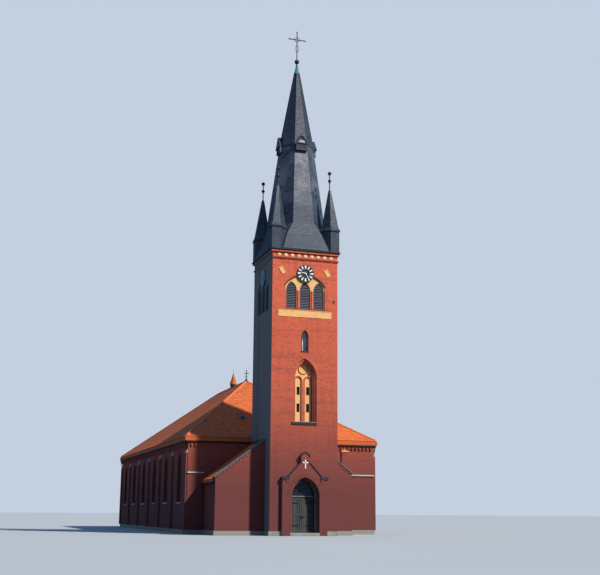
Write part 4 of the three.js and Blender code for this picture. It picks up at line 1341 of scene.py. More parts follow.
@dataclass
class DoorLeaf(Assembly):
    """One boarded door leaf with ledges, strap hinges and a ring handle; it swings with its body."""

    side: int
    label: str
    face: float = -1.94
    foot: float = 0.212
    head: float = 2.588

    def build(self) -> None:
        """Adds boards and ironwork to the leaf's outer and inner faces."""
        body = f"door_{self.label}"
        near, far, thick, ledge, gap = 0.012, 0.834, 0.014, 0.034, 0.004
        edges = np.linspace(0.010, 0.836, 7)
        boards = [self._strip(edges[:-1] + gap, edges[1:] - gap, self.foot, self.head, 0.0, thick, None)]
        boards += [self._strip(near, far, z, z + 0.13, thick, ledge) for z in (0.25, 1.32, 2.42)]
        boards += [self._strip(x, x + 0.11, 0.25, 2.55, thick, 0.030) for x in (near, 0.724)]
        self.shop.piece(f"door_boards_{self.label}", boards, "door_oak", body=body, bevel=0.003)
        iron = [self._strip(0.03, 0.11, 1.14, 1.32, ledge, 0.040)]
        stud = [(0.001, 0.036), (0.014, 0.036), (0.011, 0.046), (0.001, 0.050)]
        for z in (0.66, 2.16):
            iron.append(self._strip(0.30, far, z, z + 0.05, ledge, 0.041))
            iron.append(self._strip(0.25, 0.31, z - 0.015, z + 0.065, ledge, 0.043))
            for x in (0.36, 0.50, 0.64, 0.78):
                iron.append(disc_on_wall(stud, self.side * x, z + 0.025, self.face, 8))
        ring = circle(self.side * 0.07, 1.21, 0.045, 16)
        iron.append(moulding(ring, bead(0.007, 0.0, 0.052, 6), self.face, closed=True))
        self.shop.piece(f"door_ironwork_{self.label}", iron, "black_iron", body=body, smooth=40)
        inner = [self._strip(0.05, 0.80, z, z + 0.14, -0.082, -0.0602) for z in (0.9, 1.6, 2.3)]
        self.shop.piece(f"door_ledges_{self.label}", inner, "door_oak", body=body, bevel=0.003)

    def _strip(self, near: float | np.ndarray, far: float | np.ndarray, low: float, high: float,
               back: float, front: float, tone: float | None = 0.5) -> Shell:
        """Bars between two distances from the meeting line, two heights and two distances from the face."""
        left, right = (near, far) if self.side > 0 else (-far, -near)
        return cuboids(spots(left, self.face - front, low), spots(right, self.face - back, high), tone)


@dataclass
class BlindNiche(Assembly):
    """The tall pointed niche: stepped orders, a brick tracery over cream plaster, windows and sill."""

    arch: PointedArch = PointedArch(0.89, 10.8, 0.625)
    foot: float = 7.735
    panel: float = -2.0456
    relief: float = 0.09
    light: float = 0.36
    light_half: float = 0.225
    light_spring: float = 10.66
    light_lean: float = 0.03
    roundel: tuple = (0.0, 11.44)
    jamb: float = 0.668
    sill: float = 0.885

    def build(self) -> None:
        """Makes the niche's pieces."""
        self._orders()
        self._tracery()
        self._windows()
        self._sill()

    def _orders(self) -> None:
        """Two square steps carried round the arch inside the recess, a bead and a ring of bricks."""
        path = self.arch.with_legs(self.foot, 0.0, 16)
        back = FRONT - self.panel
        edges = ((-0.11, -0.10), (-0.22, -0.19))
        steps = [moulding(path, rectangle(edge, edge + 0.1095, back, depth)) for edge, depth in edges]
        self.shop.piece("niche_orders", steps, "moulded_brick", smooth=30)
        beads = [moulding(path, bead(0.018, *edge)) for edge in edges]
        self.shop.piece("niche_beads", beads, "moulded_brick", smooth=50)
        self.shop.piece("niche_arch_bricks", arch_bricks(self.arch, 0.005, 0.24, 24, 0.006), "moulded_brick")

    def _tracery(self) -> None:
        """A mullion, two jambs, two small arches and a roundel in moulded brick."""
        parts = []
        for x in (-self.light, self.light):
            arch = PointedArch(self.light_half, self.light_spring, self.light_lean, x)
            parts.append(moulding(arch.curve(0.0, 8), rectangle(0.0, 0.07, -0.001, self.relief), self.panel))
        inner, outer = self.light - self.light_half, self.light + self.light_half
        low = spots(np.array([-inner, -self.jamb, outer]), self.panel - self.relief, self.foot)
        high = spots(np.array([inner, -outer, self.jamb]), self.panel + 0.001, self.light_spring)
        self.shop.piece("niche_tracery", [*parts, cuboids(low, high, 0.5)], "moulded_brick", bevel=0.006)
        profile = [(-0.022, -0.001), (0.022, -0.001), (0.022, 0.045), (0.0, 0.055), (-0.022, 0.045)]
        ring = moulding(circle(*self.roundel, 0.33, 32), profile, self.panel, closed=True)
        self.shop.piece("niche_roundel_ring", ring, "moulded_brick", smooth=40)

    def _windows(self) -> None:
        """Frames and glazing bars of the four small windows."""
        parts = []
        half, bar, near, far = 0.11, 0.008, self.panel + 0.02, self.panel + 0.045
        for x in (-0.35, 0.35):
            for low, high in ((8.42, 9.02), (9.63, 10.20)):
                outline = oblong(x - half, x + half, low, high)
                parts.append(moulding(outline, rectangle(-0.022, 0.0, -0.06, -0.01), self.panel, closed=True))
                parts.append(cuboids((x - bar, near, low), (x + bar, far, high), 0.5))
        self.shop.piece("niche_window_frames", parts, "black_iron")

    def _sill(self) -> None:
        """A sloping slate sill with square ends and a drip nose."""
        nose = [(-0.07, -0.01), (0.13, -0.01), (0.13, 0.03), (0.09, 0.06), (-0.07, 0.06)]
        rail = moulding([(-0.93, 7.60), (0.90, 7.60)], nose)
        corners = []
        for front, back in ((7.7205, 7.7205), (7.722, self.foot)):
            corners += [(-self.sill, -2.47, front), (self.sill, -2.47, front)]
            corners += [(self.sill, self.panel, back), (-self.sill, self.panel, back)]
        self.shop.piece("niche_sill", [rail, blocks(corners, 0.4)], "dark_slate", bevel=0.004)


@dataclass
class LancetWindow(Assembly):
    """The small pointed window over the niche."""

    arch: PointedArch = PointedArch(0.245, 13.75, 0.273)
    foot: float = 12.68
    front: float = -2.162

    def build(self) -> None:
        """Makes the bead, the arch bricks, the leads and the sill."""
        path = self.arch.with_legs(self.foot + 0.03, 0.0, 10)
        self.shop.piece("lancet_bead", moulding(path, bead(0.028)), "dark_brick", smooth=50)
        self.shop.piece("lancet_arch_bricks", arch_bricks(self.arch, 0.005, 0.18, 8, 0.006), "moulded_brick")
        ring = moulding(path, rectangle(-0.04, -0.001, -0.3, -0.265))
        levels = np.arange(12.9, 14.0, 0.22)
        back, half, thick, thin, top = self.front + 0.012, 0.21, 0.014, 0.01, 14.12
        bars = cuboids(spots(-half, self.front, levels), spots(half, back, levels + thick))
        upright = cuboids((-thin, self.front - 0.004, self.foot + 0.03), (thin, back, top), 0.5)
        self.shop.piece("lancet_leads", [ring, bars, upright], "light_zinc", "iron")
        nose = [(-0.035, 0.001), (0.0, 0.001), (0.0, 0.045), (-0.035, 0.05)]
        sill = moulding([(-0.30, self.foot + 0.01), (0.30, self.foot + 0.01)], nose)
        inner = cuboids((-0.244, FRONT, self.foot), (0.244, self.front + 0.01, self.foot + 0.03), 0.5)
        self.shop.piece("lancet_sill", [sill, inner], "grey_slate")


@dataclass
class PlasterMarks(Assembly):
    """Cream plaster on the front: the plain band and the two tilted plaques."""

    band: tuple = (-2.0, 2.0, 15.12, 15.62)
    plaques: tuple = ((-1.72, 18.47), (1.68, 18.46))
    plaque_size: tuple = (0.168, 0.275)
    plaque_tilt: float = 30.0

    def build(self) -> None:
        """Frames the band and makes the plaques."""
        edge = [(-0.03, -0.001), (0.0, -0.001), (0.0, 0.014), (-0.022, 0.018)]
        self.shop.piece("band_border", moulding(oblong(*self.band), edge, closed=True), "cream_plaster")
        x, z = self.plaque_size
        shield = [(-x, 0.06 - z), (-x, z), (x, z), (x, 0.06 - z), (0.0, -0.03 - z)]
        rim = [(-0.04, 0.01), (0.0, 0.01), (0.0, 0.028), (-0.03, 0.034)]
        plates = []
        for place in self.plaques:
            outline = turned(shield, math.radians(self.plaque_tilt)) + place
            plates += [slab(outline, FRONT, FRONT - 0.012), moulding(outline, rim, closed=True)]
        self.shop.piece("tilted_plaques", plates, "cream_plaster", bevel=0.004)


@dataclass
class Belfry(Assembly):
    """One face of the belfry: cream arch field, brick piers, louvres and hood."""

    side: Face
    arch: FlatArch = FlatArch(1.48, 17.4, 18.2)
    edge: float = 1.479
    foot: float = 15.7
    spring: float = 17.08
    opening: float = 0.385
    lean: float = 0.30
    centres: tuple = (-1.02, 0.0, 1.02)
    front: float = -2.40
    back: float = -2.2003
    slats: int = 16
    slat: tuple = (-2.36, -2.27)

    def build(self) -> None:
        """Makes this face's pieces; the arch field stands for the whole screen."""
        label = self.side.name.lower()
        # The left face stands in shade; its field and piers wear grey finishes that paint that shade.
        shaded_side = self.side is Face.LEFT
        plaster, brick = ("painted_shade_plaster", "painted_shade_brick") if shaded_side else ("cream_plaster", "moulded_brick")
        self.shop.piece(f"belfry_arch_field_{label}", self._arch_field().facing(self.side), plaster,
                   stands_for=[f"belfry_screen_{label}"])
        low = spots(np.array([-self.edge, -0.635, 0.385, 1.405]), self.front, self.foot + 0.04)
        high = spots(np.array([-1.405, -0.385, 0.635, self.edge]), self.back, self.spring)
        piers = [cuboids(low, high, 0.55)]
        levels = (self.foot + 0.05, 16.4, self.spring - 0.02)
        piers += [tube([(x, self.front, z) for z in levels], 0.06) for x in (-0.51, 0.51)]
        self.shop.piece(f"belfry_piers_{label}", joined(piers).facing(self.side), brick, smooth=30)
        self.shop.piece(f"belfry_louvres_{label}", self._louvres().facing(self.side), "grey_slats")
        profile = [(-0.025, -0.045), (0.085, -0.02), (0.085, 0.025), (0.02, 0.035), (-0.025, 0.02)]
        sill = cuboids((-self.edge, -2.46, self.foot + 0.0005), (self.edge, -2.2004, self.foot + 0.035), 0.5)
        hood = joined([moulding(self.arch.curve(33), profile), sill])
        self.shop.piece(f"belfry_hood_{label}", hood.facing(self.side), "dark_brick", smooth=40)

    def _arch_field(self) -> Shell:
        """The field between the three openings and the low arch, as upright strips.

        Over each x the strip runs from the highest of the openings' arches, or the springing
        between them, up to the low arch; front, back, foot and head faces close it.

        Returns:
            The closed field.
        """
        reach = self.opening * np.sin(np.linspace(-math.pi / 2, math.pi / 2, 15))
        x = np.concatenate([[-self.edge], *(centre + reach for centre in self.centres), [self.edge]])
        arches = [PointedArch(self.opening, self.spring, self.lean, centre) for centre in self.centres]
        low = np.max([arch.height_at(x) for arch in arches], axis=0)
        high = self.arch.height_at(x) - 0.001
        section = ((self.front, low), (self.front, high), (self.back, high), (self.back, low))
        rows = np.stack([spots(x, y, z) for y, z in section], 1)
        return facing_out(rows.reshape(-1, 3), grid_faces(len(x), len(section)))

    def _louvres(self) -> Shell:
        """Sloping slats across every opening; each is a thin board whose outer edge hangs lower.

        A slat's half length is the opening's, or above the springing the root of radius² less
        rise², less the lean.

        Returns:
            All slats of this face.
        """
        apart, slope, thick, least = 0.118, 0.092, 0.018, 0.05
        low = self.foot + 0.05 + apart * np.arange(self.slats)
        rise = low + 0.06 - self.spring
        arc = np.sqrt(np.maximum((self.opening + self.lean) ** 2 - np.square(rise), 0.0)) - self.lean
        wide = np.where(rise < 0, self.opening - 0.001, arc)
        low, wide = low[wide > least], wide[wide > least]
        corners = []
        for centre in self.centres:
            ends = []
            for lift in (0.0, thick):
                for x, y, z in ((-1, 0, 0.0), (1, 0, 0.0), (1, 1, slope), (-1, 1, slope)):
                    ends.append(spots(centre + x * wide, self.slat[y], low + z + lift))
            corners.append(np.stack(ends, 1))
        return blocks(np.vstack(corners))


@dataclass
class ClockFace(Assembly):
    """One clock: rim and twelve marks."""

    side: Face
    height: float = 18.32
    radius: float = 0.62
    plane: float = -2.5103

    def build(self) -> None:
        """Makes what is fixed to the dial."""
        label = self.side.name.lower()
        profile = rectangle(-0.012, 0.016, -0.055, 0.01)
        rim = moulding(circle(0.0, self.height, self.radius, 48), profile, self.plane, closed=True)
        self.shop.piece(f"clock_rim_{label}", rim.facing(self.side), "dial_enamel", smooth=40)
        marks = joined([self._mark(hour) for hour in range(12)])
        self.shop.piece(f"clock_marks_{label}", marks.facing(self.side), "white_paint")

    def _mark(self, hour: int) -> Shell:
        """A wedge that widens outwards, with a straight foot, at one hour's angle.

        Args:
            hour: The hour, from 0 at the top.

        Returns:
            The wedge, drawn on the front face.
        """
        narrow, wide = 0.035, 0.078 if hour % 3 == 0 else 0.06
        inner, outer, tip = 0.34, 0.575, 0.59
        outline = [(-narrow, inner), (-wide, outer), (0.0, tip), (wide, outer), (narrow, inner)]
        outline = turned(outline, -hour * math.pi / 6) + [0.0, self.height]
        return slab(outline, self.plane, self.plane - 0.004)


@dataclass
class Eaves(Assembly):
    """The crowning cornice: plaster discs, a moulding below them and the dark gutter."""

    disc_height: float = 19.6
    discs: int = 9
    last_disc: float = 1.955

    def build(self) -> None:
        """Makes the frieze on all four faces and the gutter round them."""
        profile = [(0.001, 0.0), (0.125, 0.0), (0.118, 0.018), (0.07, 0.03), (0.001, 0.034)]
        band = rectangle(0.0, 0.022, -0.001, 0.014)
        discs, rings = [], []
        for x in np.linspace(-self.last_disc, self.last_disc, self.discs):
            discs.append(disc_on_wall(profile, x, self.disc_height, sides=16))
            rings.append(moulding(circle(x, self.disc_height, 0.13, 16), band, closed=True))
        rows = [joined(discs).facing(side) for side in Face]
        self.shop.piece("frieze_discs", rows, "pale_plaster", smooth=40)
        self.shop.piece("frieze_rings", [joined(rings).facing(side) for side in Face], "moulded_brick")
        ledge = [(0.0, 19.29), (0.03, 19.29), (0.065, 19.33), (0.065, 19.38), (0.04, 19.425), (0.0, 19.425)]
        self.shop.piece("frieze_moulding", self._round(ledge, TOWER_HALF), "dark_brick", smooth=40)
        gutter = [(0.0, 19.925), (0.035, 19.93), (0.06, 19.955), (0.07, 20.05), (0.06, 20.07), (0.045, 19.99),
                  (0.0, 19.98)]
        self.shop.piece("tower_gutter", self._round(gutter, 2.56), "gutter_zinc", smooth=40)

    @staticmethod
    def _round(profile: Sequence, half: float) -> Shell:
        """A profile of (reach, height) pairs carried round a square of this half width.

        Args:
            profile: Closed outline as (reach, height) pairs.
            half: Half the square's width.

        Returns:
            The closed band.
        """
        reach, height = np.array(profile).T
        corners = ((1, -1), (1, 1), (-1, 1), (-1, -1))
        points = [spots(x * (half + reach), y * (half + reach), height) for x, y in corners]
        return facing_out(np.vstack(points), grid_faces(4, len(profile), closed=True))


def slated(foot: np.ndarray, head: np.ndarray, slates: Coursing) -> Shell:
    """Slates on every facet between two rings of corners round the same middle.

    Args:
        foot: Corners of the lower ring.
        head: Corners of the upper ring, in the same order.
        slates: How the slates are laid.

    Returns:
        All slates; each facet's outer side is the level way from the middle to its foot.
    """
    shells = []
    for i in range(len(foot)):
        j = (i + 1) % len(foot)
        outward = ((foot[i] + foot[j]) / 2 - foot.mean(0)) * [1, 1, 0]
        shells.append(slates.lay((foot[i], foot[j], head[j], head[i]), outward))
    return joined(shells)


@dataclass
class Spire(Assembly):
    """The slated skirt and octagonal spire with lead hips, ring and copper finial."""

    slates: Coursing = Coursing(0.27, 0.185, 0.011)
    skirt: tuple = ((20.08, 2.63, 1.72), (20.5, 2.47, 1.58), (21.3, 2.21, 1.32))
    stages: tuple = (((2.17, 22.2), (1.28, 28.6)), ((1.26, 28.9), (0.215, 34.72)))
    cross: float = 37.65

    def build(self) -> None:
        """Lays the slates and makes the hip rolls, the collar, the cap and the cross's ironwork."""
        rings = [self._skirt_ring(*level) for level in self.skirt] + [self._octagon(*self.stages[0][0])]
        covers = [self._clear(slated(low, high, self.slates)) for low, high in zip(rings, rings[1:])]
        self.shop.piece("skirt_slates", covers, "grey_slate")
        rolls = []
        for label, (foot, head) in zip(("lower", "upper"), self.stages):
            cover = slated(self._octagon(*foot), self._octagon(*head), self.slates)
            self.shop.piece(f"{label}_spire_slates", cover, "grey_slate")
            low, high = (self._octagon(radius + 0.010, z) for radius, z in (foot, head))
            rolls += [tube([a, (a + b) / 2, b], 0.022, 6) for a, b in zip(low, high)]
        self.shop.piece("spire_hip_rolls", rolls, "grey_lead", smooth=50)
        collar = [(1.20, 28.58), (1.31, 28.58), (1.342, 28.62), (1.335, 28.86), (1.31, 28.91), (1.20, 28.95)]
        self.shop.piece("spire_collar", lathe(collar, 8, turn=0.5), "grey_slate", smooth=30)
        cap = lathe([(0.2, 34.56), (0.245, 34.56), (0.25, 34.60), (0.235, 34.73), (0.2, 34.745)], 16)
        self.shop.piece("spire_cap_flashing", cap, "grey_lead", smooth=40)
        self._cross_work()

    @staticmethod
    def _octagon(radius: float, z: float) -> np.ndarray:
        """Eight corners at equal angles, with flat sides facing the axes."""
        angle = (np.arange(8) + 0.5) * math.pi / 4
        return spots(radius * np.cos(angle), radius * np.sin(angle), z)

    @staticmethod
    def _skirt_ring(z: float, face: float, half: float) -> np.ndarray:
        """Eight corners of the skirt, in the octagon's order."""
        y = [half, face, face, half, -half, -face, -face, -half]
        return spots([face, half, -half, -face, -face, -half, half, face], y, z)

    @staticmethod
    def _clear(shell: Shell) -> Shell:
        """Leaves out the slates whose middle lies inside a corner turret.

        Args:
            shell: Slates of eight points each.

        Returns:
            The slates that are left.
        """
        plates = shell.points.reshape(-1, 8, 3)
        inset, corner, flank, reach = 2.0, -0.66, 0.63, 0.55
        u, v = np.abs(plates.mean(1)[:, :2]).T - inset
        inside = (u + v > corner) & (np.abs(u - v) < flank) & (u < reach) & (v < reach)
        return blocks(plates[~inside], shell.tones[::6][~inside])

    def _cross_work(self) -> None:
        """Forged work on the top cross: a small ring at the crossing and pointed stays below the arms."""
        parts = [moulding(circle(0.0, self.cross, 0.2, 20), bead(0.018, sides=6), 0.0, closed=True)]
        for side, _ in SIDES:
            bends = ((0.03, 36.6), (0.16, 36.85), (0.10, 37.1), (0.02, 37.2))
            parts.append(tube([(side * x, 0.0, z) for x, z in bends], 0.016, 6))
        self.shop.piece("cross_ring", parts, "black_iron", "copper", smooth=50)


@dataclass
class Lucarnes(Assembly):
    """Four small gabled dormers at the foot of the upper spire."""

    face: float = -1.42
    back: float = -1.10
    half: float = 0.43
    eave: float = 28.60
    peak: float = 29.38
    slates: Coursing = Coursing(0.2, 0.13, 0.009)

    def build(self) -> None:
        """Makes dark barge boards, pale gable fields with a ball, louvres and small slated roofs."""
        verge = [(-0.57, 28.50), (0.0, self.peak - 0.02), (0.57, 28.50)]
        profile = [(-0.09, -0.03), (0.01, -0.03), (0.02, 0.05), (-0.08, 0.05)]
        depths = np.array([0.04, 0.05, 0.02, 0.02])
        sill, head = 28.10, 28.585
        low = spots([-0.45, -0.45, -0.40, 0.31], self.face - depths, [head, 28.05, sill, sill])
        high = spots([0.45, 0.45, -0.31, 0.40], self.face, [28.645, sill, head, head])
        boards = joined([moulding(verge, profile, self.face), cuboids(low, high, 0.3)])
        ball = [(0.001, 0.0), (0.055, 0.01), (0.065, 0.05), (0.04, 0.10), (0.001, 0.115)]
        panel = [(-0.25, 28.66), (-0.19, 28.84), (0.19, 28.84), (0.25, 28.66)]
        field = slab(panel, self.face, self.face - 0.02)
        fields = joined([field, disc_on_wall(ball, 0.0, 29.2, self.face, 10)])
        screen = cuboids((-0.31, self.face + 0.02, sill), (0.31, self.face + 0.045, head), 0.1)
        foot = spots(-0.3, self.face - 0.004, 28.13 + 0.155 * np.arange(3))
        slats, roofs = [], []
        for side in Face:
            slats += [screen.facing(side), cuboids(foot, foot + [0.6, 0.03, 0.03]).facing(side)]
            roofs += [self._slope(sign).facing(side) for sign, _ in SIDES]
        self.shop.piece("lucarne_boards", [boards.facing(side) for side in Face], "dark_slate", bevel=0.004)
        self.shop.piece("lucarne_gable_fields", [fields.facing(side) for side in Face], "light_zinc")
        self.shop.piece("lucarne_louvres", slats, "dark_slate", "louvre_wood")
        self.shop.piece("lucarne_roof_slates", roofs, "grey_slate")

    def _slope(self, sign: int) -> Shell:
        """Slates on one side of a dormer's roof.

        Args:
            sign: -1 for the left side, 1 for the right.

        Returns:
            The slates, drawn on the front face.
        """
        near, far, x = self.face + 0.02, self.back, sign * self.half
        corners = ((x, near, self.eave), (x, far, self.eave), (0, far, self.peak), (0, near, self.peak))
        return self.slates.lay(corners, (sign, 0.0, 0.6))


@dataclass
class Turret(Assembly):
    """One corner turret: slated body and pyramid over a square set cornerwise, eave, spike and balls."""

    name: str
    signs: tuple
    plan: tuple = ((-0.10, 0.55), (0.55, 0.55), (0.55, -0.10), (-0.016, -0.666), (-0.666, -0.016))
    inset: float = 2.0
    levels: tuple = ((20.01, 1.0), (21.62, 1.0), (21.715, 1.1), (21.95, 0.9), (24.86, 0.13))
    slates: Coursing = Coursing(0.22, 0.17, 0.009)

    def build(self) -> None:
        """Covers the turret with slates and adds the eave, the hips and the spike's collars."""
        rings = [self._ring(*level) for level in self.levels]
        covers = [slated(rings[i], rings[i + 1], self.slates) for i in (0, 2, 3)]
        self.shop.piece(f"{self.name}_slates", covers, "grey_slate")
        eave = self._band([(21.60, 1.0), (21.60, 1.06), (21.65, 1.125), (21.69, 1.125), (21.72, 1.08)])
        foot = self._band([(20.003, 1.0), (20.003, 1.06), (20.05, 1.06), (20.09, 1.02)])
        self.shop.piece(f"{self.name}_trims", [eave, foot], "dark_slate")
        x, y = (sign * self.inset for sign in self.signs)
        lower = [(0.05, 24.80), (0.095, 24.81), (0.09, 24.88), (0.055, 24.93), (0.042, 24.97)]
        upper = [(0.03, 25.47), (0.06, 25.48), (0.06, 25.51), (0.04, 25.53)]
        collars = [lathe(profile, 12, x, y) for profile in (lower, upper)]
        self.shop.piece(f"{self.name}_collars", collars, "grey_lead", smooth=40)
        hips = [tube([a, (a + b) / 2, b], 0.016, 6) for a, b in zip(rings[3], rings[4])]
        self.shop.piece(f"{self.name}_hip_rolls", hips, "grey_lead", smooth=50)

    def _ring(self, z: float, scale: float) -> np.ndarray:
        """Corners of the plan at one height and scale, in the turret's own corner of the tower."""
        return spots(*((np.array(self.plan) * scale + self.inset) * self.signs).T, z)

    def _band(self, levels: Sequence) -> Shell:
        """A closed band through rings of the plan at several heights and scales."""
        points = np.vstack([self._ring(*level) for level in levels])
        return facing_out(points, grid_faces(len(levels), len(self.plan)))


@dataclass
class Annex(Assembly):
    """A lean-to beside the tower: stone verge, tiled roof, gutter and brick frieze."""

    side: int
    label: str
    width: float
    ridge: float
    drop: float
    near: float = -0.78
    far: float = 2.44
    tiles: Coursing = Coursing(0.24, 0.33, 0.016)

    def build(self) -> None:
        """Makes the annex's pieces."""
        name = f"annex_{self.label}"
        path = [self._at(0.0), self._at(self.width + 0.10)][::self.side]
        profile = [(-0.02, -0.42), (0.075, -0.42), (0.1, -0.2), (0.075, 0.045), (0.015, 0.05), (-0.02, 0.015)]
        self.shop.piece(f"{name}_verge", moulding(path, profile, ANNEX_FRONT), "grey_stone", smooth=15)
        (x0, z0), (x1, z1) = self._at(self.width + 0.12, 0.10), self._at(0.02, 0.10)
        corners = ((x0, self.near, z0), (x0, self.far, z0), (x1, self.far, z1), (x1, self.near, z1))
        self.shop.piece(f"{name}_tiles", self.tiles.lay(corners, (self.side, 0, 1.2)), "clay_tile")
        self.shop.piece(f"{name}_flashing", self._flashing(), "grey_lead")
        self._gutter()
        wide, deep, high, apart = 0.09, 0.032, 0.15, 0.22
        x, z = self._at(np.arange(0.25, self.width - 0.05, apart))
        low = spots(x - wide / 2, ANNEX_FRONT - 0.03, z - 0.20)
        self.shop.piece(f"{name}_dentils", cuboids(low, low + [wide, deep, high]), "moulded_brick")

    def _at(self, reach: float | np.ndarray, fall: float = 0.0) -> tuple:
        """X and Z of the verge line at a distance from the tower."""
        return self.side * (TOWER_HALF + reach), self.ridge - fall - self.drop * reach

    def _flashing(self) -> Shell:
        """A lead wedge where the roof meets the tower.

        Returns:
            The wedge.
        """
        x, z = self._at(0.0)
        corners = []
        for reach, inner, outer in ((0.16, -0.1, -0.19), (0.02, 0.1, 0.08)):
            edge = x + self.side * reach
            corners += [(x, self.near, z + inner), (x, self.far, z + inner)]
            corners += [(edge, self.far, z + outer), (edge, self.near, z + outer)]
        return blocks(corners)

    def _gutter(self) -> None:
        """A gutter at the eave and a pipe that goes back to the wall and down it."""
        x, z = self._at(self.width + 0.15, 0.33)
        wall, y = x - self.side * 0.1, self.far - 0.18
        gutter = tube([(x, self.near, z), (x, 0.8, z - 0.01), (x, self.far - 0.1, z - 0.03)], 0.055)
        pipe = tube([(x, y, z), (x, y, z - 0.3), (wall, y, z - 0.5), (wall, y, 0.35)], 0.04)
        self.shop.piece(f"annex_{self.label}_gutter", [gutter, pipe], "gutter_zinc", smooth=50)


@dataclass
class Chimney(Assembly):
    """The brick chimney on the right annex with its cream cap."""

    low: tuple = (3.39, -0.74)
    high: tuple = (3.89, -0.24)

    def build(self) -> None:
        """Makes the cap, a short flue pot and a projecting course."""
        cap = [self._course(-0.012, 5.82, 5.90, 0.5), self._course(0.02, 5.90, 5.955, 0.5)]
        self.shop.piece("chimney_cap", cap, "cream_plaster", bevel=0.01)
        profile = [(0.07, 5.955), (0.11, 5.955), (0.10, 6.05), (0.11, 6.07), (0.085, 6.07), (0.08, 5.97)]
        x, y = (np.array(self.low) + self.high) / 2
        self.shop.piece("chimney_pot", lathe(profile, 16, x, y), "ridge_tile", smooth=40)
        self.shop.piece("chimney_band", self._course(0.025, 5.60, 5.68, 0.4), "moulded_brick", bevel=0.005)

    def _course(self, inset: float, foot: float, head: float, tone: float) -> Shell:
        """A square course drawn in from the shaft's sides, between two heights."""
        (x0, y0), (x1, y1) = np.array(self.low) + inset, np.array(self.high) - inset
        return cuboids((x0, y0, foot), (x1, y1, head), tone)


